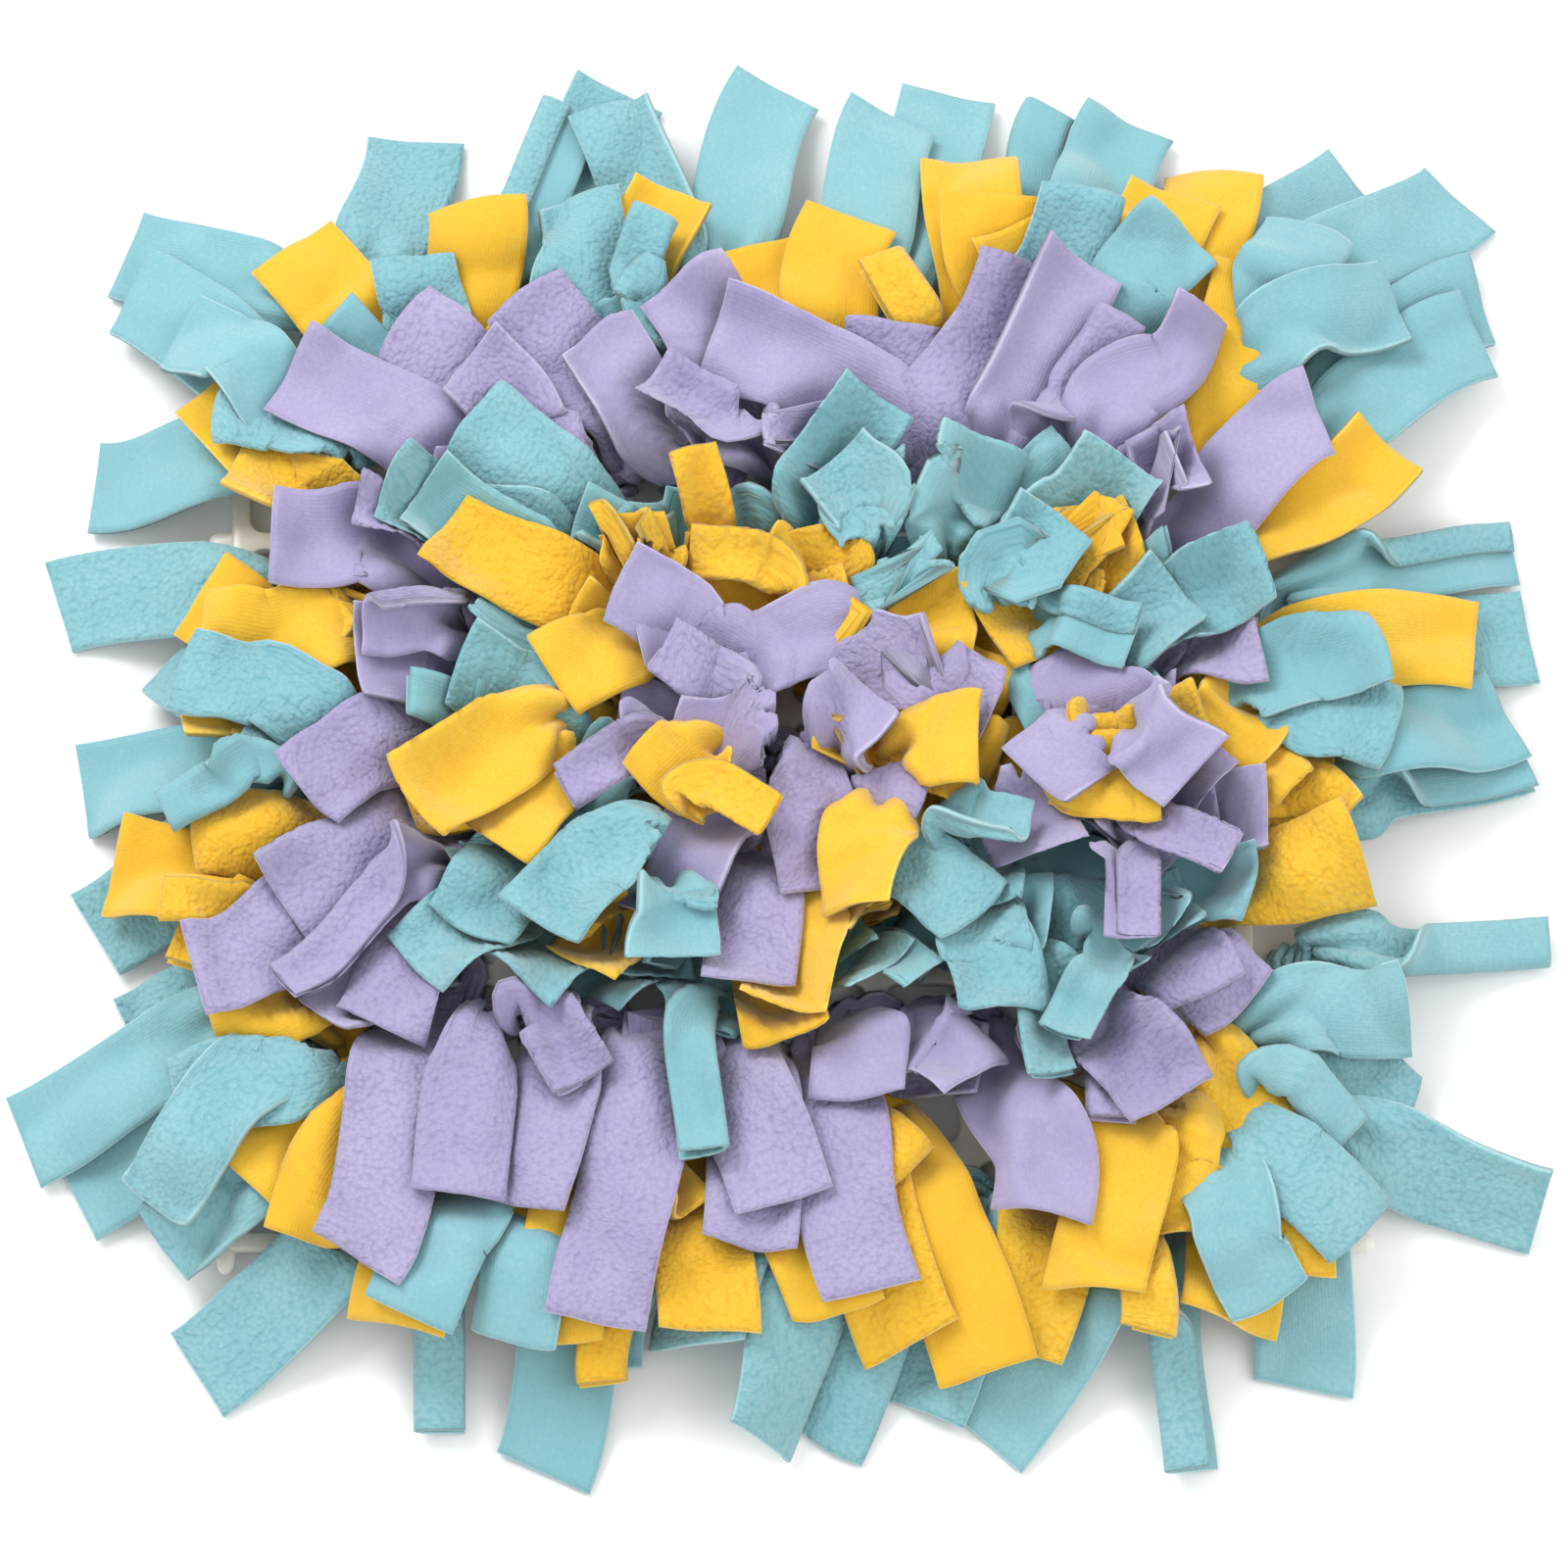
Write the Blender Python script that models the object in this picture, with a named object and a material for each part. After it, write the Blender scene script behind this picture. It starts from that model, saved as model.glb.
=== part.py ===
"""Snuffle mat: fleece strips tied in coloured rings to a moulded plastic grid.

The grid lies on its feet. Each strip comes up through two neighbouring holes, crosses over
the bar between them, and its two free ends lie over the strips that were tied before it.
Strips are laid from the rim inwards, so each end rests on what is under it.
Lengths are in millimetres until a mesh is made, which is in metres.
"""

import math
import random

import bpy
import numpy as np

MM = 0.001

# Grid
COLUMNS = 12
ROWS = 11
PITCH = 28.0
BAR_WIDTH = 6.0
GRID_THICKNESS = 4.0
FOOT_HEIGHT = 4.0
FOOT_WIDTH = 5.0
STUB_LENGTH = 4.0
STUB_NOSE = 3.0
STUB_NOSE_WIDTH = 3.0
FOOT_COLUMNS = (0, 3, 6, 9, 12)
FOOT_ROWS = (0, 4, 7, 11)
GRID_TOP = FOOT_HEIGHT + GRID_THICKNESS

# Fleece strips
STRIP_WIDTH = 30.0
STRIP_THICKNESS = 1.9
END_LENGTH = 84.0
SHORTEST_END = 34.0
BEND_RADIUS = 42.0
FLOOR_CLEARANCE = 0.4
STRIP_CLEARANCE = 0.8
EDGE_CLEARANCE = 2.0

# Raster of what is already laid
CELL = 1.0
HALF_FIELD = 270.0

# The tie, in the knot's own frame: across along the ring, out towards the rim, up.
# A row for each section, from the first end's root to the second's.
# Columns: across, out, up, half width, half thickness, normal across, normal up
TIE_SECTIONS = (
    (7.0, 7.0, 15.6, 4.5, 1.8, 0.0, 1.0),
    (0.0, 4.4, 13.2, 2.9, 2.0, 0.0, 1.0),
    (-7.2, 0.5, 8.2, 4.0, 1.8, -0.85, 0.53),
    (-6.8, 0.0, 2.9, 6.5, 1.2, -0.80, -0.60),
    (6.8, 0.0, 2.9, 6.5, 1.2, 0.80, -0.60),
    (7.2, -0.5, 8.2, 4.0, 1.8, 0.85, 0.53),
    (0.0, -4.2, 14.6, 2.9, 2.0, 0.0, 1.0),
    (-7.0, 1.5, 20.5, 4.5, 1.8, 0.0, 1.0),
)

# A free end: the share of its length and of its full half width at each section
END_SECTIONS = ((0.25, 0.84), (0.5, 1.0), (0.75, 1.0), (1.0, 1.0))

# The way the middle strip faces, which has no rim nearest to it
FRONT = np.array((0.0, -1.0))

# Rings from the rim inwards.
# Columns: name, colour, share of spare length that arches, height its tips fall to
RINGS = (
    ("ring1_aqua", "aqua", 0.30, 0.0),
    ("ring2_yellow", "yellow", 0.45, 2.0),
    ("ring3_lavender", "lavender", 0.55, 10.0),
    ("ring4_aqua", "aqua", 0.70, 22.0),
    ("ring5_yellow", "yellow", 0.75, 30.0),
    ("ring6_lavender", "lavender", 0.85, 36.0),
)

# Strips of each ring, in the order in which they are laid.
# Columns: knot number clockwise from the top left, first tip x, y, second tip x, y
STRIPS = (
    (
        (1, -117, 205, -206, 167),
        (2, -52, 222, -66, 212),
        (3, -2, 224, -54, 215),
        (4, 52, 222, 34, 212),
        (6, 180, 191, 211, 182),
        (7, 218, 152, 216, 134),
        (8, 231, 42, 226, 66),
        (9, 228, -3, 222, 12),
        (10, 233, -59, 190, -114),
        (11, 226, -143, 160, -200),
        (12, 122, -222, 62, -210),
        (13, 40, -205, 10, -213),
        (14, -6, -218, -26, -190),
        (15, -58, -192, -72, -222),
        (16, -103, -212, -177, -190),
        (18, -197, -90, -230, -120),
        (19, -210, -56, -216, -9),
        (20, -187, 10, -226, 52),
        (21, -215, 91, -205, 153),
    ),
    (
        (1, -153, 160, -95, 175),
        (2, -82, 140, -33, 184),
        (4, 59, 194, 30, 156),
        (5, 134, 194, 112, 184),
        (6, 152, 154, 186, 98),
        (7, 168, -4, 208, 37),
        (8, 167, -12, 176, -42),
        (9, 132, -180, 152, -162),
        (10, 70, -188, 108, -184),
        (11, 61, -192, 38, -185),
        (12, -54, -194, -20, -184),
        (14, -184, -64, -161, -140),
        (15, -203, -33, -179, -30),
        (16, -184, 10, -180, 52),
        (17, -176, 114, -172, 90),
    ),
    (
        (1, -124, 140, -150, 118),
        (3, 34, 140, 77, 160),
        (4, 104, 136, 131, 140),
        (5, 166, 106, 144, 36),
        (6, 130, 4, 150, -30),
        (7, 142, -84, 96, -128),
        (8, 78, -149, 42, -112),
        (9, 26, -168, -10, -160),
        (10, -54, -176, -78, -144),
        (11, -126, -152, -138, -90),
        (12, -176, -70, -150, -48),
        (13, -156, 66, -132, 34),
    ),
    (
        (2, -24, 96, 20, 110),
        (3, 104, 100, 62, 108),
        (4, 120, 28, 128, 60),
        (5, 82, -118, 146, -46),
        (6, 56, -98, 12, -112),
        (7, -24, -136, -70, -78),
        (9, -116, 18, -110, 40),
    ),
    (
        (1, -20, 94, -106, 66),
        (2, 20, 80, 102, 72),
        (3, 116, 8, 84, -52),
        (4, 34, -74, 0, -98),
        (5, -74, -66, -104, -10),
    ),
    (
        (1, 8, -47, -50, 6),
    ),
)


def clear_scene():
    """Start from an empty scene."""
    for item in list(bpy.data.objects):
        bpy.data.objects.remove(item, do_unlink=True)


def make_material(name, colour, roughness):
    """A plain material with the part's colour and roughness."""
    material = bpy.data.materials.new(name)
    material.use_nodes = True
    shader = material.node_tree.nodes["Principled BSDF"]
    shader.inputs["Base Color"].default_value = (*colour, 1.0)
    shader.inputs["Roughness"].default_value = roughness
    shader.inputs["Metallic"].default_value = 0.0
    return material


def signed_volume(points, triangles):
    """Six times the volume that the triangles enclose, negative when inside out."""
    corners = points[triangles]
    return float(np.einsum("ij,ij->i", corners[:, 0], np.cross(corners[:, 1], corners[:, 2])).sum())


def add_object(name, points, triangles, material):
    """One closed mesh from points in millimetres, its faces turned outwards."""
    if signed_volume(points, triangles) < 0.0:
        triangles = triangles[:, ::-1]
    mesh = bpy.data.meshes.new(name)
    mesh.from_pydata((points * MM).tolist(), [], triangles.tolist())
    mesh.materials.append(material)
    mesh.update()
    item = bpy.data.objects.new(name, mesh)
    bpy.context.scene.collection.objects.link(item)
    return item


# ---------------------------------------------------------------- grid


def grid_lines(count):
    """Lines across one way of the grid, and which spans between them are bars."""
    first = -count * PITCH / 2.0
    outer = first - BAR_WIDTH / 2.0 - STUB_LENGTH
    lines = [outer - STUB_NOSE, outer]
    bars = [False, False]
    for index in range(count + 1):
        centre = first + index * PITCH
        lines.extend((centre - BAR_WIDTH / 2.0, centre + BAR_WIDTH / 2.0))
        bars.extend((True, False))
    lines.extend((-outer, STUB_NOSE - outer))
    bars.append(False)
    return lines, bars


def grid_solid():
    """Crossing bars with nosed stubs round the rim and feet under some crossings."""
    x_lines, x_bars = grid_lines(COLUMNS)
    y_lines, y_bars = grid_lines(ROWS)
    points = []
    index_of = {}
    faces = []
    nose = STUB_NOSE_WIDTH / BAR_WIDTH

    def corner(column, row, up):
        key = (column, row, up)
        if key not in index_of:
            x = x_lines[column]
            y = y_lines[row]
            if column in (0, len(x_lines) - 1):
                span = row if y_bars[row] else row - 1
                middle = (y_lines[span] + y_lines[span + 1]) / 2.0
                y = middle + (y - middle) * nose
            if row in (0, len(y_lines) - 1):
                span = column if x_bars[column] else column - 1
                middle = (x_lines[span] + x_lines[span + 1]) / 2.0
                x = middle + (x - middle) * nose
            index_of[key] = len(points)
            points.append((x, y, up))
        return index_of[key]

    def is_solid(column, row):
        if not (0 <= column < len(x_lines) - 1 and 0 <= row < len(y_lines) - 1):
            return False
        return x_bars[column] or y_bars[row]

    def add_foot(under):
        middle = np.mean([points[i] for i in under], axis=0)
        share = FOOT_WIDTH / BAR_WIDTH
        ring = []
        for i in under:
            x = middle[0] + (points[i][0] - middle[0]) * share
            y = middle[1] + (points[i][1] - middle[1]) * share
            ring.append(len(points))
            points.append((x, y, 0.0))
        for side in range(4):
            after = (side + 1) % 4
            faces.append((under[side], under[after], ring[after], ring[side]))
        faces.append(tuple(ring))

    bar_columns = [i for i, bar in enumerate(x_bars) if bar]
    bar_rows = [i for i, bar in enumerate(y_bars) if bar]
    feet = {(bar_columns[i], bar_rows[j]) for i in FOOT_COLUMNS for j in FOOT_ROWS}
    around = (
        (-1, 0, (0, 1), (0, 0)),
        (1, 0, (1, 0), (1, 1)),
        (0, -1, (0, 0), (1, 0)),
        (0, 1, (1, 1), (0, 1)),
    )
    for column in range(len(x_lines) - 1):
        for row in range(len(y_lines) - 1):
            if not is_solid(column, row):
                continue
            steps = ((0, 0), (1, 0), (1, 1), (0, 1))
            top = [corner(column + a, row + b, GRID_TOP) for a, b in steps]
            under = [corner(column + a, row + b, FOOT_HEIGHT) for a, b in reversed(steps)]
            faces.append(tuple(top))
            if (column, row) in feet:
                add_foot(under)
            else:
                faces.append(tuple(under))
            for a, b, start, end in around:
                if is_solid(column + a, row + b):
                    continue
                ends = [(column + s, row + t) for s, t in (start, end)]
                faces.append(
                    (
                        corner(*ends[0], FOOT_HEIGHT),
                        corner(*ends[1], FOOT_HEIGHT),
                        corner(*ends[1], GRID_TOP),
                        corner(*ends[0], GRID_TOP),
                    )
                )
    triangles = [(f[0], f[1], f[2]) for f in faces] + [(f[0], f[2], f[3]) for f in faces]
    return np.array(points), np.array(triangles)


# ---------------------------------------------------------------- knots


def ring_holes(depth):
    """Holes of one ring, clockwise from its top left, as column and row."""
    left, right = depth, COLUMNS - 1 - depth
    top, bottom = depth, ROWS - 1 - depth
    if top == bottom:
        return [(column, top) for column in range(left, right + 1)]
    holes = [(column, top) for column in range(left, right)]
    holes += [(right, row) for row in range(top, bottom)]
    holes += [(column, bottom) for column in range(right, left, -1)]
    holes += [(left, row) for row in range(bottom, top, -1)]
    return holes


def hole_centre(hole):
    """Middle of a hole in plan."""
    return np.array(
        ((hole[0] - (COLUMNS - 1) / 2.0) * PITCH, ((ROWS - 1) / 2.0 - hole[1]) * PITCH)
    )


def knot_frame(depth, number):
    """Middle of the bar between two holes, the way along the ring and the way out."""
    holes = ring_holes(depth)
    first = hole_centre(holes[2 * number - 2])
    second = hole_centre(holes[2 * number - 1])
    middle = (first + second) / 2.0
    along = (second - first) / PITCH
    out = np.array((-along[1], along[0]))
    if out @ (middle + FRONT) < 0.0:
        out = -out
    return middle, along, out


# ---------------------------------------------------------------- laying


class Field:
    """Heights of what already lies on the floor, on a raster seen from above."""

    def __init__(self):
        size = int(2.0 * HALF_FIELD / CELL) + 1
        self.top = np.full((size, size), 0.0)
        margin = BAR_WIDTH / 2.0 + STUB_LENGTH + STUB_NOSE + EDGE_CLEARANCE
        half_x = COLUMNS * PITCH / 2.0 + margin
        half_y = ROWS * PITCH / 2.0 + margin
        low_x, high_x = self.cells(np.array((-half_x, half_x)))
        low_y, high_y = self.cells(np.array((-half_y, half_y)))
        self.top[low_x : high_x + 1, low_y : high_y + 1] = GRID_TOP + EDGE_CLEARANCE

    def cells(self, place):
        """Raster index of a place."""
        return np.rint((place + HALF_FIELD) / CELL).astype(int)

    def height(self, x, y):
        """Highest thing within two cells of each place."""
        columns = self.cells(x)
        rows = self.cells(y)
        found = np.zeros(columns.shape)
        for a in (-2, -1, 0, 1, 2):
            for b in (-2, -1, 0, 1, 2):
                found = np.maximum(found, self.top[columns + a, rows + b])
        return found

    def add(self, points, triangles):
        """Raise the raster to the triangles."""
        for corners in points[triangles]:
            weights = triangle_weights(corners)
            places = weights @ corners
            found = (self.cells(places[:, 0]), self.cells(places[:, 1]))
            np.maximum.at(self.top, found, places[:, 2])


def triangle_weights(corners, step=0.8):
    """Shares of three corners at places spread over their triangle."""
    longest = max(np.linalg.norm(corners[i] - corners[i - 1]) for i in range(3))
    count = max(2, int(longest / step))
    i, j = np.meshgrid(np.arange(count + 1), np.arange(count + 1), indexing="ij")
    inside = i + j <= count
    a = i[inside] / count
    b = j[inside] / count
    return np.stack((a, b, 1.0 - a - b), axis=1)


def sheet_triangles(rows):
    """Triangles of a sheet whose edges have the given number of points."""
    found = []
    for row in range(rows - 1):
        a = row * 2
        found += [(a, a + 1, a + 3), (a, a + 3, a + 2)]
    return np.array(found)


def lay_end(field, root, root_side, tip, ring, draw):
    """Underside of one free end, from its root to its tip, resting on what lies there.

    Gives two edge points for the root and for each section after it.
    """
    arch_share, fall = RINGS[ring][2], RINGS[ring][3]
    run = tip - root[:2]
    reach = max(float(np.linalg.norm(run)), SHORTEST_END)
    ahead = run / np.linalg.norm(run)
    side = np.array((ahead[1], -ahead[0]))
    if side @ root_side[:2] < 0.0:
        side = -side
    spare = max(END_LENGTH - reach, 0.0)
    arch = arch_share * (2.0 / math.pi) * math.sqrt(reach * spare)
    sway = draw.uniform(-4.0, 4.0)
    tilt = draw.uniform(-0.16, 0.16)
    tip_up = max(fall + draw.uniform(-3.0, 5.0), FLOOR_CLEARANCE)

    points = [root + root_side * across for across in (-1, 1)]
    for share, width in END_SECTIONS:
        middle = root[:2] + ahead * reach * share + side * sway * math.sin(math.pi * share)
        up = root[2] + (tip_up - root[2]) * share**1.3 + arch * math.sin(math.pi * share)
        for across in (-1, 1):
            offset = across * width * STRIP_WIDTH / 2.0
            rest = max(up + offset * tilt * share, FLOOR_CLEARANCE)
            points.append(np.array((*(middle + side * offset), rest)))
    points = np.array(points)
    return settle(field, points, sheet_triangles(len(END_SECTIONS) + 1), free_from=2)


def settle(field, points, triangles, free_from):
    """Raise a sheet's free points until it clears everything under it, gently bent."""
    samples = []
    for triangle in triangles:
        weights = triangle_weights(points[triangle], 1.5)
        full = np.zeros((len(weights), len(points)))
        full[:, triangle] = weights
        samples.append(full)
    samples = np.concatenate(samples)
    places = samples @ points
    needed = field.height(places[:, 0], places[:, 1]) + STRIP_CLEARANCE
    grip = samples[:, free_from:].sum(axis=1)
    usable = grip > 0.45
    for index in range(free_from, len(points)):
        away = ((places[usable, :2] - points[index, :2]) ** 2).sum(axis=1)
        envelope = (needed[usable] - away / (2.0 * BEND_RADIUS)).max()
        points[index, 2] = max(points[index, 2], envelope)
    for _ in range(60):
        short = needed - samples @ points[:, 2]
        short[~usable] = 0.0
        if short.max() < 0.01:
            break
        worst = np.where(samples > 0.02, short[:, None], 0.0).max(axis=0)
        points[free_from:, 2] += 0.6 * np.maximum(worst[free_from:], 0.0)
    return points


def sheet_thickness(points):
    """Upright thickness of a sheet, more where it is steep."""
    grid = points.reshape(-1, 2, 3)
    along = np.gradient(grid, axis=0)
    slope = np.abs(along[..., 2]) / np.maximum(np.linalg.norm(along[..., :2], axis=2), 0.1)
    return STRIP_THICKNESS * np.sqrt(1.0 + np.minimum(slope, 1.4) ** 2).reshape(-1)


# ---------------------------------------------------------------- strips


def tie_frames(depth, number, tips):
    """Middle, half width and half thickness vectors of each section of one tie."""
    middle, along, out = knot_frame(depth, number)
    if (np.array(tips[0]) - np.array(tips[1])) @ along < 0.0:
        along = -along
    hand = along[0] * out[1] - along[1] * out[0]
    frames = []
    for across, outward, up, half_width, half_thick, normal_across, normal_up in TIE_SECTIONS:
        centre = np.array((*(middle + along * across + out * outward), up))
        normal = np.array((*(along * normal_across), normal_up))
        frames.append((centre, np.array((*(-out * half_width), 0.0)), normal * half_thick))
    for position, tip, way in ((0, tips[0], -hand), (-1, tips[1], hand)):
        centre, side, normal = frames[position]
        run = np.array(tip) - centre[:2]
        turned = way * np.array((-run[1], run[0], 0.0)) / np.linalg.norm(run)
        halfway = turned + side / np.linalg.norm(side)
        frames[position] = (centre, halfway * np.linalg.norm(side) / np.linalg.norm(halfway), normal)
    return frames


def strip_solid(field, depth, number, tips, draw):
    """One strip: first end, crossed tie with its loop under the bar, second end."""
    frames = tie_frames(depth, number, tips)
    rows = len(END_SECTIONS) + 1
    ends = []
    for position, tip in ((0, tips[0]), (-1, tips[1])):
        centre, side, normal = frames[position]
        sheet = lay_end(field, centre - normal, side, np.array(tip, float), depth, draw)
        above = sheet.copy()
        above[:, 2] += sheet_thickness(sheet)
        above[:2] = sheet[:2] + 2.0 * normal
        field.add(above, sheet_triangles(rows))
        sections = []
        for row in range(1, rows):
            pair = slice(2 * row, 2 * row + 2)
            sections.append(np.concatenate((above[pair], sheet[pair][::-1])))
        ends.append(sections)
    tie = []
    for centre, side, normal in frames:
        corners = ((-1, 1), (1, 1), (1, -1), (-1, -1))
        tie.append(np.array([centre + side * a + normal * b for a, b in corners]))
    points, triangles = skin(ends[0][::-1], tie, ends[1])
    field.add(points, triangles)
    return points, triangles


def skin(first_end, tie, second_end):
    """Closed skin over four-cornered sections, each sheet's two faces split alike."""
    sections = first_end + tie + second_end
    points = np.concatenate(sections)
    triangles = []
    for section in range(len(sections) - 1):
        from_tip = section < len(first_end)
        for edge in range(4):
            a = section * 4 + edge
            b = section * 4 + (edge + 1) % 4
            if from_tip == (edge == 0):
                triangles += [(a, b, a + 4), (b, b + 4, a + 4)]
            else:
                triangles += [(a, b, b + 4), (a, b + 4, a + 4)]
    last = (len(sections) - 1) * 4
    for a, b, c in ((0, 2, 1), (0, 3, 2)):
        triangles.append((a, b, c))
        triangles.append((last + a, last + c, last + b))
    return points, np.array(triangles)


# ---------------------------------------------------------------- the mat

clear_scene()
plastic = make_material("milky_plastic", (0.80, 0.78, 0.72), 0.3)
fleece = {
    "aqua": make_material("aqua_fleece", (0.27, 0.62, 0.70), 0.95),
    "yellow": make_material("yellow_fleece", (0.95, 0.58, 0.06), 0.95),
    "lavender": make_material("lavender_fleece", (0.48, 0.40, 0.70), 0.95),
}
add_object("grid_base", *grid_solid(), plastic)

laid = Field()
for ring_depth, (ring_name, colour_name, _, _) in enumerate(RINGS):
    for knot, first_x, first_y, second_x, second_y in STRIPS[ring_depth]:
        seeded = random.Random(100 * ring_depth + knot)
        solid = strip_solid(laid, ring_depth, knot, ((first_x, first_y), (second_x, second_y)), seeded)
        add_object(f"{ring_name}_strip_{knot:02d}", *solid, fleece[colour_name])
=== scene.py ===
import math
import random

import bpy
import numpy as np
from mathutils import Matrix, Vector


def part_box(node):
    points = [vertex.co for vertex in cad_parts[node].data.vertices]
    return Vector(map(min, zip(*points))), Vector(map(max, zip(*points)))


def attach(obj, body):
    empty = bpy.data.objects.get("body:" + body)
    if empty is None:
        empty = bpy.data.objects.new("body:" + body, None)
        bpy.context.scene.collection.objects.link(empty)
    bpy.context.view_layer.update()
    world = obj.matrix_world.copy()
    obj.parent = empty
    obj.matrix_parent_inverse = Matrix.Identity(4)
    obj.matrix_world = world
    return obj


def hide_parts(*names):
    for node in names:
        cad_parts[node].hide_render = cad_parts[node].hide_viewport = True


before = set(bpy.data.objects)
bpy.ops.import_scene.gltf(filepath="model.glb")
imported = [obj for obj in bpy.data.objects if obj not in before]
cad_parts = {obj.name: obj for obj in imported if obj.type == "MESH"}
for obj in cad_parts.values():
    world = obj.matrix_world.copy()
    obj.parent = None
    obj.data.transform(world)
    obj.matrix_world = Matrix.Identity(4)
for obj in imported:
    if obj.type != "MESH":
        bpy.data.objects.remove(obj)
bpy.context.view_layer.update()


# -------- grid base
# The mat's base is one moulding of soft, milky plastic: crossing bars round square holes,
# nosed stubs where the bars end, and short feet under some of the crossings.


class Value:
    """A number that varies over a surface, in the sums that shape a finish."""

    def __init__(self, tree, socket):
        self.tree = tree
        self.socket = socket

    def work(self, operation, *terms):
        """One step of a sum, as a node."""
        node = self.tree.nodes.new("ShaderNodeMath")
        node.operation = operation
        for socket, term in zip(node.inputs, terms):
            if isinstance(term, Value):
                self.tree.links.new(term.socket, socket)
            else:
                socket.default_value = term
        return Value(self.tree, node.outputs[0])

    def __add__(self, other):
        return self.work("ADD", self, other)

    def __sub__(self, other):
        return self.work("SUBTRACT", self, other)

    def __rsub__(self, other):
        return self.work("SUBTRACT", other, self)

    def __mul__(self, other):
        return self.work("MULTIPLY", self, other)

    __radd__ = __add__
    __rmul__ = __mul__


class Finish:
    """A material of the mat, and the nodes that make its pattern."""

    def __init__(self, name, **constants):
        self.slot = name
        self.material = bpy.data.materials.new(name)
        self.material.use_nodes = True
        self.tree = self.material.node_tree
        self.shader = self.tree.nodes["Principled BSDF"]
        for socket, value in constants.items():
            self.shader.inputs[socket.replace("_", " ")].default_value = value

    def node(self, kind, settings=None, values=None, out=0):
        """A node with its settings made and its sockets filled."""
        made = self.tree.nodes.new(kind)
        for key, value in (settings or {}).items():
            setattr(made, key, value)
        for key, value in (values or {}).items():
            if isinstance(value, Value):
                self.tree.links.new(value.socket, made.inputs[key])
            else:
                made.inputs[key].default_value = value
        return Value(self.tree, made.outputs[out])

    def blend(self, share, first, second):
        """A colour between two others."""
        kind = {"data_type": "RGBA", "clamp_factor": True}
        return self.node("ShaderNodeMix", kind, {0: share, 6: first, 7: second}, out=2)

    def drive(self, socket, value):
        """Let a pattern feed one of the shader's sockets."""
        self.tree.links.new(value.socket, self.shader.inputs[socket])


def shade(red, green, blue):
    """A colour from the three values that a screen shows."""
    found = []
    for part in (red, green, blue):
        part = part / 255.0
        found.append(part / 12.92 if part <= 0.04045 else ((part + 0.055) / 1.055) ** 2.4)
    return (*found, 1.0)


milky = Finish("milky_plastic", Roughness=0.28, IOR=1.49, Coat_Weight=0.25, Coat_Roughness=0.2)
place = milky.node("ShaderNodeTexCoord", out="Object")
cloud = milky.node("ShaderNodeTexNoise", None, {"Vector": place, "Scale": 60.0, "Detail": 3.0})
milky.drive("Base Color", milky.blend(cloud, shade(222, 217, 205), shade(242, 239, 230)))
grain = milky.node("ShaderNodeTexNoise", None, {"Vector": place, "Scale": 900.0, "Detail": 2.0})
milky.drive("Roughness", 0.22 + 0.16 * grain)
milky.drive(
    "Normal",
    milky.node("ShaderNodeBump", None, {"Strength": 0.15, "Distance": 0.0002, "Height": grain}),
)

# Sizes of the moulding, in millimetres, and a millimetre in the frame's metres
MM = 0.001
COLUMNS = 12
ROWS = 11
PITCH = 28.0
BAR_HALF = 3.0
GRID_LOW = 4.0
GRID_TOP = 8.0
HOLE_CORNER = 4.0
MERGE = 0.04
ROUND_POINTS = 16
FOOT_COLUMNS = (0, 3, 6, 9, 12)
FOOT_ROWS = (0, 4, 7, 11)

# Rounding of a bar's edge. Columns: distance in from the edge, height
LIP = ((1.0, 8.0), (0.3, 7.7), (0.0, 7.0), (0.0, 5.0), (0.3, 4.3), (1.0, 4.0))

# Points along one side of a cell. Columns: place, turn of the hole's rounded corner there
SIDE_STOPS = (
    (-10.5, -22.5), (-7.0, 0.0), (-2.33, 0.0), (2.33, 0.0), (7.0, 0.0), (10.5, 22.5), (14.0, 45.0),
)
OUTER_CORNER = (0.0, 22.5, 45.0, 67.5, 90.0)

# Stub and foot, as sections. Columns: place along it, how wide it is there
STUB = ((-1.5, 0.96), (0.0, 0.96), (4.0, 0.94), (5.6, 0.78), (6.6, 0.5), (7.0, 0.22))
STUB_THICK = 1.9
FOOT = ((0.0, 2.1), (0.5, 2.5), (4.4, 2.5))
FOOT_OUTLINE = ((1, -0.7), (1, 0.7), (0.7, 1), (-0.7, 1), (-1, 0.7), (-1, -0.7), (-0.7, -1), (0.7, -1))


def placed(name, data):
    """An object made of this data, put in the scene."""
    made = bpy.data.objects.new(name, data)
    bpy.context.scene.collection.objects.link(made)
    return made


def marked(mesh, marks):
    """Store a number for each point of a mesh under each label."""
    for label, values in marks.items():
        mesh.attributes.new(label, "FLOAT", "POINT").data.foreach_set("value", values)


def banded(name, loops, closed_ends=False):
    """A mesh of bands between loops of equally many points, each loop closed on itself."""
    count = len(loops[0])
    faces = []
    for level in range(len(loops) - 1):
        for i in range(count):
            j = (i + 1) % count
            a, b = level * count, (level + 1) * count
            faces.append((a + i, a + j, b + j, b + i))
    if closed_ends:
        last = (len(loops) - 1) * count
        faces.append(tuple(range(count - 1, -1, -1)))
        faces.append(tuple(last + i for i in range(count)))
    mesh = bpy.data.meshes.new(name)
    mesh.from_pydata((np.concatenate(loops) * MM).tolist(), [], faces)
    return placed(name, mesh)


def quarter(turn):
    """The way out and the way along of one of the four sides."""
    angle = math.radians(90.0 * turn)
    way = np.array((math.cos(angle), math.sin(angle)))
    return way, np.array((-way[1], way[0]))


def swung(way, side, bend):
    """A way turned by some degrees towards the side."""
    swing = math.radians(bend)
    return way * math.cos(swing) + side * math.sin(swing)


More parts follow.
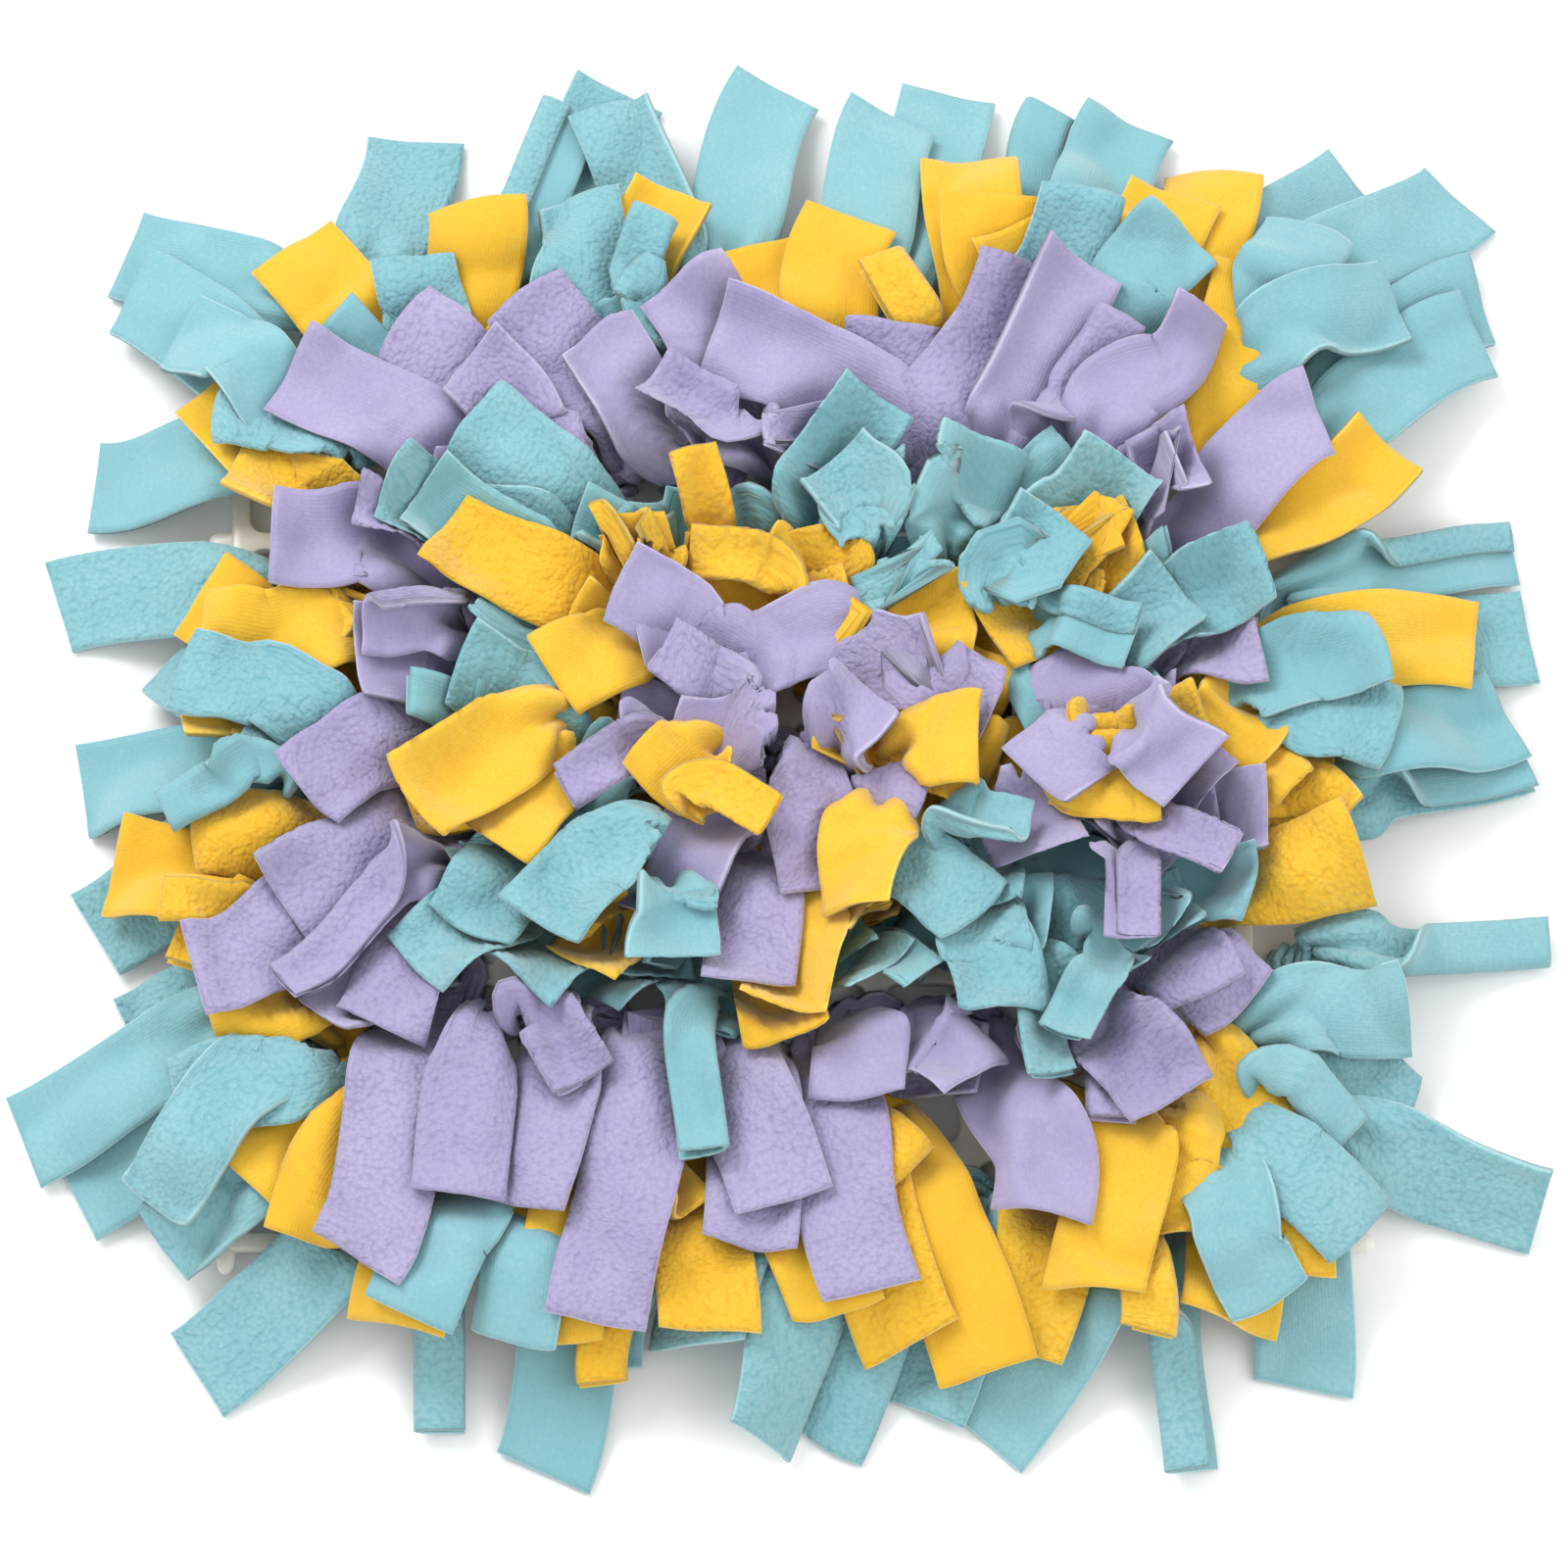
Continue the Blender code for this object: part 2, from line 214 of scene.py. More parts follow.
def cell_loops():
    """One square of the lattice: the middles of its bars, then round the hole's rounded lip."""
    straight = PITCH / 2.0 - BAR_HALF - HOLE_CORNER
    edge, hole = [], []
    for turn in range(4):
        way, side = quarter(turn)
        for place, bend in SIDE_STOPS:
            edge.append(way * PITCH / 2.0 + side * place)
            held = max(-straight, min(straight, place))
            hole.append((way * straight + side * held, swung(way, side, bend)))
    loops = []
    for inset, height in LIP:
        ring = [middle + outward * (HOLE_CORNER + inset) for middle, outward in hole]
        loops.append([(*point, height) for point in ring])
    first = [(*point, GRID_TOP) for point in edge]
    last = [(*point, GRID_LOW) for point in edge]
    return [np.array(loop) for loop in (first, *loops, last)]


def border_loops():
    """The outer half of the border bars, met by the same points as the cells' edges."""
    half = np.array((COLUMNS, ROWS)) * PITCH / 2.0
    stops = []
    for turn, (run, reach, cells) in enumerate(
        ((half[1], half[0], ROWS), (half[0], half[1], COLUMNS)) * 2
    ):
        way, side = quarter(turn)
        for cell in range(cells):
            for stop, _ in SIDE_STOPS:
                place = stop + PITCH / 2.0
                if cell < cells - 1 or place < PITCH:
                    stops.append((way * reach + side * (cell * PITCH + place - run), way))
        for bend in OUTER_CORNER:
            stops.append((way * reach + side * run, swung(way, side, bend)))
    loops = [[(*base, GRID_TOP) for base, outward in stops]]
    for inset, height in LIP:
        loops.append([(*(base + outward * (BAR_HALF - inset)), height) for base, outward in stops])
    loops.append([(*base, GRID_LOW) for base, outward in stops])
    return [np.array(loop) for loop in loops][::-1]


def stub_loops():
    """A stub: a short bar along x whose section is a rounded square and whose end is a nose."""
    loops = []
    for place, full in STUB:
        ring = []
        for i in range(ROUND_POINTS):
            angle = 2.0 * math.pi * i / ROUND_POINTS
            reach = (abs(math.cos(angle)) ** 4 + abs(math.sin(angle)) ** 4) ** -0.25
            ring.append((place, BAR_HALF * full * reach * math.cos(angle),
                         STUB_THICK * full * reach * math.sin(angle)))
        loops.append(np.array(ring))
    return loops


def foot_loops():
    """A foot: a small post with cut corners, narrower where it meets the floor."""
    return [
        np.array([(wide * x, wide * y, height) for x, y in FOOT_OUTLINE]) for height, wide in FOOT
    ]


def lattice_tree():
    """Cells set out in rows, merged with their border, with stubs and feet at their places."""
    tree = bpy.data.node_groups.new("moulded_lattice", "GeometryNodeTree")
    face = tree.interface
    face.new_socket("Places", in_out="INPUT", socket_type="NodeSocketGeometry")
    for label, kind in (("Columns", "Int"), ("Rows", "Int"), ("Pitch", "Float")):
        face.new_socket(label, in_out="INPUT", socket_type=f"NodeSocket{kind}")
    for label in ("Cell", "Border", "Stub", "Foot"):
        face.new_socket(label, in_out="INPUT", socket_type="NodeSocketObject")
    face.new_socket("Finish", in_out="INPUT", socket_type="NodeSocketMaterial")
    face.new_socket("Grid", in_out="OUTPUT", socket_type="NodeSocketGeometry")

    def step(kind, settings=None, **sockets):
        made = tree.nodes.new(kind)
        for key, value in (settings or {}).items():
            setattr(made, key, value)
        for key, value in sockets.items():
            socket = made.inputs[key.replace("_", " ")]
            if isinstance(value, (int, float)):
                socket.default_value = value
            else:
                for source in value if isinstance(value, list) else [value]:
                    tree.links.new(source, socket)
        return made

    def worked(operation, first, second):
        made = step("ShaderNodeMath", {"operation": operation})
        for socket, term in zip(made.inputs, (first, second)):
            if isinstance(term, (int, float)):
                socket.default_value = term
            else:
                tree.links.new(term, socket)
        return made.outputs[0]

    given = step("NodeGroupInput").outputs
    span = [worked("MULTIPLY", worked("SUBTRACT", given[n], 1.0), given["Pitch"])
            for n in ("Columns", "Rows")]
    rows = step("GeometryNodeMeshGrid", Vertices_X=given["Columns"], Vertices_Y=given["Rows"],
                Size_X=span[0], Size_Y=span[1])
    shapes = {
        label: step("GeometryNodeObjectInfo", Object=given[label]).outputs["Geometry"]
        for label in ("Cell", "Border", "Stub", "Foot")
    }
    cells = step("GeometryNodeInstanceOnPoints", Points=rows.outputs["Mesh"],
                 Instance=shapes["Cell"])
    joined = step("GeometryNodeJoinGeometry",
                  Geometry=[cells.outputs["Instances"], shapes["Border"]])
    real = step("GeometryNodeRealizeInstances", Geometry=joined.outputs["Geometry"])
    merged = step("GeometryNodeMergeByDistance", Geometry=real.outputs["Geometry"],
                  Distance=MERGE * MM)
    marks = {}
    for label in ("stub", "turn"):
        mark = step("GeometryNodeInputNamedAttribute", {"data_type": "FLOAT"})
        mark.inputs["Name"].default_value = label
        marks[label] = mark.outputs["Attribute"]
    spin = step("ShaderNodeCombineXYZ", Z=marks["turn"])
    stubs = step("GeometryNodeInstanceOnPoints", Points=given["Places"],
                 Selection=worked("GREATER_THAN", marks["stub"], 0.5),
                 Instance=shapes["Stub"], Rotation=spin.outputs["Vector"])
    feet = step("GeometryNodeInstanceOnPoints", Points=given["Places"],
                Selection=worked("LESS_THAN", marks["stub"], 0.5),
                Instance=shapes["Foot"])
    whole = step("GeometryNodeJoinGeometry",
                 Geometry=[merged.outputs["Geometry"], stubs.outputs["Instances"],
                           feet.outputs["Instances"]])
    plain = step("GeometryNodeRealizeInstances", Geometry=whole.outputs["Geometry"])
    finished = step("GeometryNodeSetMaterial", Geometry=plain.outputs["Geometry"],
                    Material=given["Finish"])
    step("NodeGroupOutput", Grid=finished.outputs["Geometry"])
    return tree


def grid_base():
    """The whole moulding as one plain mesh."""
    half = np.array((COLUMNS, ROWS)) * PITCH / 2.0
    places, turns = [], []
    middle_height = (GRID_LOW + GRID_TOP) / 2.0
    for bar in range(ROWS + 1):
        for way in (1.0, -1.0):
            places.append((way * (half[0] + BAR_HALF), bar * PITCH - half[1], middle_height))
            turns.append(0.0 if way > 0.0 else math.pi)
    for bar in range(COLUMNS + 1):
        for way in (1.0, -1.0):
            places.append((bar * PITCH - half[0], way * (half[1] + BAR_HALF), middle_height))
            turns.append(way * math.pi / 2.0)
    stubs = [1.0] * len(places)
    for column in FOOT_COLUMNS:
        for row in FOOT_ROWS:
            places.append((column * PITCH - half[0], row * PITCH - half[1], 0.0))
    spare = len(places) - len(stubs)
    mesh = bpy.data.meshes.new("grid_base_moulded")
    mesh.from_pydata((np.array(places) * MM).tolist(), [], [])
    marked(mesh, {"stub": stubs + [0.0] * spare, "turn": turns + [0.0] * spare})
    holder = placed("grid_base_moulded", mesh)
    shapes = {
        "Cell": banded("lattice_cell", cell_loops()),
        "Border": banded("lattice_border", border_loops()),
        "Stub": banded("lattice_stub", stub_loops(), True),
        "Foot": banded("lattice_foot", foot_loops(), True),
    }
    tree = lattice_tree()
    modifier = holder.modifiers.new("lattice", "NODES")
    modifier.node_group = tree
    values = {"Columns": COLUMNS, "Rows": ROWS, "Pitch": PITCH * MM, "Finish": milky.material}
    values.update(shapes)
    for socket in tree.interface.items_tree:
        if socket.in_out == "INPUT" and socket.name in values:
            modifier[socket.identifier] = values[socket.name]
    graph = bpy.context.evaluated_depsgraph_get()
    plain = bpy.data.meshes.new_from_object(holder.evaluated_get(graph))
    holder.modifiers.clear()
    holder.data = plain
    for shape in shapes.values():
        bpy.data.objects.remove(shape)
    for label in ("stub", "turn"):
        if label in plain.attributes:
            plain.attributes.remove(plain.attributes[label])
    plain.polygons.foreach_set("use_smooth", [True] * len(plain.polygons))
    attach(holder, "root")
    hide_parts("grid_base")


grid_base()


# -------- rim strips, aqua
# Strips of polar fleece, cut 30 mm wide. Each is passed under a bar, comes up through the holes
# on both sides of it and is tied over it, and its two free ends lie out past the grid.

# Sizes of a strip, in millimetres
STRIP_WIDTH = 30.0
CLOTH = 2.6
END_LENGTH = 84.0
SHORTEST_END = 44.0
TIE_CREASE = 2.1
EDGE_BULGE = 0.45
THIN_SHARE = 0.55
OPEN_SHARE = 0.45

# How it lies: gap to what is under it, how tightly the cloth bends, how far an end stands up
LIFT = 0.4
DRAPE_RADIUS = 13.0
BEND_RADIUS = 24.0
STANDING = 14.0
FLOOR_GAP = 0.2

# How its ends are varied: sideways turn at the root and at the tip, slant of the cut, climb from
# the tie, more climb for a slack end, tilt of a tip that lies high, all in degrees but the slant
ROOT_SWING = 25.0
TIP_SWAY = 14.0
CUT_SLANT = 0.09
CLIMB = (14.0, 34.0)
SLACK_CLIMB = 34.0
HIGH = 20.0
HIGH_TILT = 12.0
WAVE_LENGTH = 21.0
FOLD_WIDTH = 6.0

# Rows of points in an end and in the tie, points across, the heap's raster, a guard on a division
ALONG = 34
ACROSS = 14
TIE_ROWS = 18
CELL = 1.0
HALF_FIELD = 270.0
GRID_MARGIN = 2.0
TINY = 1e-9

# The tie, in the knot's own frame: across along the ring, out towards the rim, up.
# Columns: across, out, up, half width, normal across, normal up
TIE = np.array(
    (
        (7.0, 7.0, 15.6, 4.5, 0.0, 1.0),
        (0.0, 4.4, 13.2, 3.2, 0.0, 1.0),
        (-7.2, 0.5, 8.2, 4.0, -0.85, 0.53),
        (-6.8, 0.0, 2.9, 6.0, -0.80, -0.60),
        (6.8, 0.0, 2.9, 6.0, 0.80, -0.60),
        (7.2, -0.5, 8.2, 4.0, 0.85, 0.53),
        (0.0, -4.2, 14.6, 3.2, 0.0, 1.0),
        (-7.0, 1.5, 20.5, 4.5, 0.0, 1.0),
    )
)

# How an end lies. Columns: roll of its tip and of its middle, in degrees, how far one edge is
# folded over, in degrees, where across it folds, cupping per mm, rise of its tip, in degrees,
# depth of its waves, whether it drapes softly over what it covers
LOOKS = {
    "flat": (0, 6, 0, 0, 0.012, 0, 0.10, True),
    "draped": (6, -8, 0, 0, -0.042, -20, 0.12, True),
    "cupped": (10, 6, 0, 0, 0.060, 12, 0.12, True),
    "twisted": (48, 18, 0, 0, 0.020, 4, 0.10, False),
    "leaning": (26, 30, 0, 0, 0.030, 2, 0.15, False),
    "folded": (14, 8, 160, 0.0, 0.010, 0, 0.05, False),
    "rolled": (4, 6, 190, 0.38, 0.010, 2, 0.05, False),
    "upturned": (10, 6, 0, 0, 0.035, 32, 0.12, False),
    "hooked": (8, 6, 0, 0, -0.030, -50, 0.08, False),
    "crumpled": (24, 16, 60, 0.1, 0.030, 16, 0.35, False),
    "slim": (10, 10, 168, -0.12, 0.010, 0, 0.05, False),
}


def ring_holes(depth):
    """Holes of one ring, clockwise from its top left, as column and row."""
    left, right = depth, COLUMNS - 1 - depth
    top, bottom = depth, ROWS - 1 - depth
    if top == bottom:
        return [(column, top) for column in range(left, right + 1)]
    holes = [(column, top) for column in range(left, right)]
    holes += [(right, row) for row in range(top, bottom)]
    holes += [(column, bottom) for column in range(right, left, -1)]
    holes += [(left, row) for row in range(bottom, top, -1)]
    return holes


def knot_frame(depth, number):
    """Middle of the bar between two holes, the way along the ring and the way out."""
    holes = ring_holes(depth)
    ends = []
    for index in (int(2 * number - 2), int(2 * number - 1)):
        column, row = holes[index % len(holes)]
        x = (column - (COLUMNS - 1) / 2.0) * PITCH
        y = ((ROWS - 1) / 2.0 - row) * PITCH
        ends.append(np.array((x, y)))
    middle = (ends[0] + ends[1]) / 2.0
    along = (ends[1] - ends[0]) / PITCH
    out = np.array((-along[1], along[0]))
    if out @ (middle + np.array((0.0, -1.0))) < 0.0:
        out = -out
    return middle, along, out


def unit(ways, spare=0.0):
    """The same ways, each of length 1."""
    return ways / (np.linalg.norm(ways, axis=-1, keepdims=True) + spare)


def ease(share):
    """A smooth step from 0 to 1."""
    share = np.clip(share, 0.0, 1.0)
    return share * share * (3.0 - 2.0 * share)


def finer(surface, times):
    """The same surface with more points between its own."""
    for axis in (0, 1):
        surface = np.moveaxis(surface, axis, 0)
        places = np.linspace(0.0, len(surface) - 1.0, (len(surface) - 1) * times + 1)
        low = np.minimum(places.astype(int), len(surface) - 2)
        share = (places - low)[:, None, None]
        surface = surface[low] * (1.0 - share) + surface[low + 1] * share
        surface = np.moveaxis(surface, 0, axis)
    return surface


class Heap:
    """Heights of what already lies on the floor, on a raster seen from above."""

    def __init__(self):
        size = int(2.0 * HALF_FIELD / CELL) + 1
        self.top = np.zeros((size, size))
        low, high = (np.array(corner[:2]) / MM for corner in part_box("grid_base"))
        low, high = self.cells(low - GRID_MARGIN), self.cells(high + GRID_MARGIN)
        self.top[low[0] : high[0] + 1, low[1] : high[1] + 1] = GRID_TOP + GRID_MARGIN

    def cells(self, place):
        """Raster index of a place."""
        return np.rint((place + HALF_FIELD) / CELL).astype(int)

    def under(self, surface):
        """Highest thing within a cell of each point."""
        columns = self.cells(surface[..., 0])
        rows = self.cells(surface[..., 1])
        found = np.zeros(columns.shape)
        for a in (-1, 0, 1):
            for b in (-1, 0, 1):
                found = np.maximum(found, self.top[columns + a, rows + b])
        return found

    def add(self, surface):
        """Raise the raster to a surface."""
        fine = finer(surface, 3)
        np.maximum.at(
            self.top, (self.cells(fine[..., 0]), self.cells(fine[..., 1])), fine[..., 2]
        )


def across_profile(waves, gathers, cup, fold, fold_place, phase):
    """The line of a cross section: distances across and up, from how steeply it runs."""
    distance = np.linspace(-1.0, 1.0, ACROSS + 1) * STRIP_WIDTH / 2.0
    slope = cup * distance + waves * np.sin(2.0 * math.pi * distance / WAVE_LENGTH + phase)
    slope = slope + gathers * np.sin(4.0 * math.pi * distance / STRIP_WIDTH)
    slope = slope + fold * ease((distance - fold_place * STRIP_WIDTH / 2.0) / FOLD_WIDTH + 0.5)
    step = STRIP_WIDTH / ACROSS
    middle = (slope[..., 1:] + slope[..., :-1]) / 2.0
    shape = (*slope.shape[:-1], 1)
    flat = np.concatenate((np.zeros(shape), np.cumsum(np.cos(middle) * step, axis=-1)), axis=-1)
    rise = np.concatenate((np.zeros(shape), np.cumsum(np.sin(middle) * step, axis=-1)), axis=-1)
    centre = (flat.max(axis=-1, keepdims=True) + flat.min(axis=-1, keepdims=True)) / 2.0
    return flat - centre, rise - rise[..., ACROSS // 2 : ACROSS // 2 + 1]


def curve(root, tip, start, finish, length):
    """Points along a free end's middle line, bowed until it has the wanted length."""
    share = np.linspace(0.0, 1.0, ALONG + 1)[:, None]
    low, high = 0.05, 2.0
    for _ in range(24):
        handle = (low + high) / 2.0 * np.linalg.norm(tip - root)
        pull = (root + start * handle, tip - finish * handle * 0.8)
        line = (1 - share) ** 3 * root + 3 * (1 - share) ** 2 * share * pull[0]
        line = line + 3 * (1 - share) * share**2 * pull[1] + share**3 * tip
        run = np.linalg.norm(np.diff(line, axis=0), axis=1).sum()
        low, high = (low, (low + high) / 2.0) if run > length else ((low + high) / 2.0, high)
    steps = np.concatenate(((0.0,), np.cumsum(np.linalg.norm(np.diff(line, axis=0), axis=1))))
    even = np.linspace(0.0, steps[-1], ALONG + 1)
    return np.stack([np.interp(even, steps, line[:, i]) for i in range(3)], axis=1)


GATHER = np.linspace(0.0, 2.2, 60)
GATHERED = np.array(
    [np.cos(g * np.sin(np.linspace(0.0, 2.0 * math.pi, 200))).mean() for g in GATHER]
)


def lay_end(heap, root, side, tip, look, turn, spare, draw):
    """One free end, from its root to its tip, resting on what already lies there."""
    roll_tip, roll_middle, fold, fold_place, cup, rise, waves, soft = LOOKS[look]
    hand = draw.choice((-1.0, 1.0))
    sway = draw.uniform(-TIP_SWAY, TIP_SWAY)
    sway = turn or sway
    start_turn = draw.uniform(-ROOT_SWING, ROOT_SWING)
    roll_tip = math.radians(roll_tip * draw.uniform(0.7, 1.2) + draw.uniform(-6.0, 6.0)) * hand
    roll_middle = math.radians(roll_middle * draw.uniform(0.6, 1.3)) * hand
    skew = draw.uniform(-CUT_SLANT, CUT_SLANT)
    phase = draw.uniform(0.0, 6.28)
    steep = math.radians(draw.uniform(*CLIMB))
    tip = np.array(tip, float)
    run = tip - root[:2]
    reach = np.linalg.norm(run)
    way = math.atan2(run[1], run[0])
    resting = heap.under(np.array([[(*tip, 0.0)]]))[0, 0]
    end = np.array((*tip, resting + CLOTH / 2.0 + LIFT))
    length = max(reach + spare * max(END_LENGTH - reach, 0.0), SHORTEST_END)
    length = max(length, np.linalg.norm(end - root) * 1.02)
    slack = min(max(length / max(reach, 1.0) - 1.0, 0.0) / 0.5, 1.0)
    steep += math.radians(SLACK_CLIMB) * slack
    begin = way - math.radians(start_turn) * (1.0 - 0.7 * slack)
    finish = way + math.radians(sway) * (1.0 - 0.5 * slack)
    slope = math.radians(rise + draw.uniform(-HIGH_TILT, HIGH_TILT) * (resting > HIGH))
    line = curve(
        root,
        end,
        np.array((math.cos(begin), math.sin(begin), math.tan(steep))) * math.cos(steep),
        np.array((math.cos(finish), math.sin(finish), math.tan(slope))) * math.cos(slope),
        length,
    )
    share = np.linspace(0.0, 1.0, ALONG + 1)
    forward = unit(np.gradient(line, axis=0))
    level = unit(np.stack((forward[:, 1], -forward[:, 0]), axis=1), TINY)
    right = np.concatenate((level, np.zeros((ALONG + 1, 1))), axis=1)
    mirrored = -1.0 if right[0] @ side < 0.0 else 1.0
    right = mirrored * right
    above = mirrored * np.cross(right, forward)
    roll = roll_middle * np.sin(math.pi * share) ** 2 + roll_tip * ease((share - 0.3) / 0.7)
    turned = right * np.cos(roll)[:, None] + above * np.sin(roll)[:, None]
    held = ease(share / 0.28)[:, None]
    turned = unit(turned * held + side / np.linalg.norm(side) * (1.0 - held))
    upward = unit(mirrored * np.cross(turned, forward))

    open_share = ease((share + 0.12) / 0.50)[:, None]
    width = 0.30 + 0.70 * open_share
    gathers = np.interp(-width, -GATHERED, GATHER)
    flat, up = across_profile(
        waves * open_share,
        gathers,
        cup * hand * open_share if look in ("twisted", "slim") else cup * open_share,
        math.radians(fold) * ease((share[:, None] - 0.15) / 0.35),
        fold_place * hand,
        phase,
    )
    up = up * (0.8 + 0.2 * open_share)
    if fold and hand < 0.0:
        flat, up = -flat[:, ::-1], up[:, ::-1]
    surface = line[:, None, :] + turned[:, None, :] * flat[..., None]
    surface = surface + upward[:, None, :] * up[..., None]
    skewed = skew * flat * (share**3)[:, None]
    surface = surface + forward[:, None, :] * skewed[..., None]

    fade = ease((share - 0.10) / 0.26)[:, None]
    for _ in range(3):
        need = heap.under(surface) + LIFT + CLOTH * 0.5
        short = (need - surface[..., 2]) * fade - (1.0 - fade) * 2.0
        if soft:
            flatwise = surface[..., :2].reshape(-1, 2)
            wanted = (need - (1.0 - fade) * 40.0).reshape(-1)
            away = ((flatwise[:, None, :] - flatwise[None, :, :]) ** 2).sum(axis=2)
            cover = (wanted[None, :] - away / (2.0 * DRAPE_RADIUS)).max(axis=1)
            cover = cover.reshape(need.shape)
            lifted = np.maximum(surface[..., 2], cover) - surface[..., 2]
        else:
            most = np.maximum(short.max(axis=1), 0.0)
            steps = np.arange(ALONG + 1) * (length / ALONG)
            apart = (steps[:, None] - steps[None, :]) ** 2
            lifted = (most[None, :] - apart / (2.0 * BEND_RADIUS)).max(axis=1)
            lifted = np.maximum(lifted, 0.0)[:, None] * np.ones(ACROSS + 1)[None, :]
        for _ in range(3):
            padded = np.pad(lifted, ((1, 1), (1, 1)), mode="edge")
            lifted = (
                padded[1:-1, 1:-1] * 2.0 + padded[2:, 1:-1] + padded[:-2, 1:-1]
                + padded[1:-1, 2:] + padded[1:-1, :-2]
            ) / 6.0
        surface[..., 2] += lifted
        surface[..., 2] = np.maximum(surface[..., 2], CLOTH * 0.5 + FLOOR_GAP)
    return surface


def tie_rows(middle, along, out, tips):
    """The tie's middle lines: centre, side and normal of each of its rows."""
    if (np.array(tips[0]) - np.array(tips[1])) @ along < 0.0:
        along = -along
    hand = along[0] * out[1] - along[1] * out[0]
    centres = np.empty((len(TIE), 3))
    centres[:, :2] = middle + TIE[:, :1] * along + TIE[:, 1:2] * out
    centres[:, 2] = TIE[:, 2]
    normals = np.empty((len(TIE), 3))
    normals[:, :2] = TIE[:, 4:5] * along
    normals[:, 2] = TIE[:, 5]
    sides = np.empty((len(TIE), 3))
    sides[:, :2] = -out * TIE[:, 3:4]
    sides[:, 2] = 0.0
    for position, tip, way in ((0, tips[0], -hand), (-1, tips[1], hand)):
        run = np.array(tip) - centres[position, :2]
        turned = way * np.array((-run[1], run[0], 0.0)) / np.linalg.norm(run)
        size = np.linalg.norm(sides[position])
        halfway = turned + sides[position] / size
        sides[position] = halfway * size / np.linalg.norm(halfway)
    return centres, sides, normals, hand


def smooth_line(points, count):
    """A smooth line through points, as evenly many rows between each two."""
    padded = np.concatenate((2 * points[:1] - points[1:2], points, 2 * points[-1:] - points[-2:-1]))
    found = []
    for place in np.linspace(0.0, len(points) - 1.0, count):
        low = min(int(place), len(points) - 2)
        share = place - low
        a, b, c, d = padded[low : low + 4]
        bent = 2 * b + (c - a) * share + (2 * a - 5 * b + 4 * c - d) * share**2
        found.append(0.5 * (bent + (3 * b - a - 3 * c + d) * share**3))
    return np.array(found)


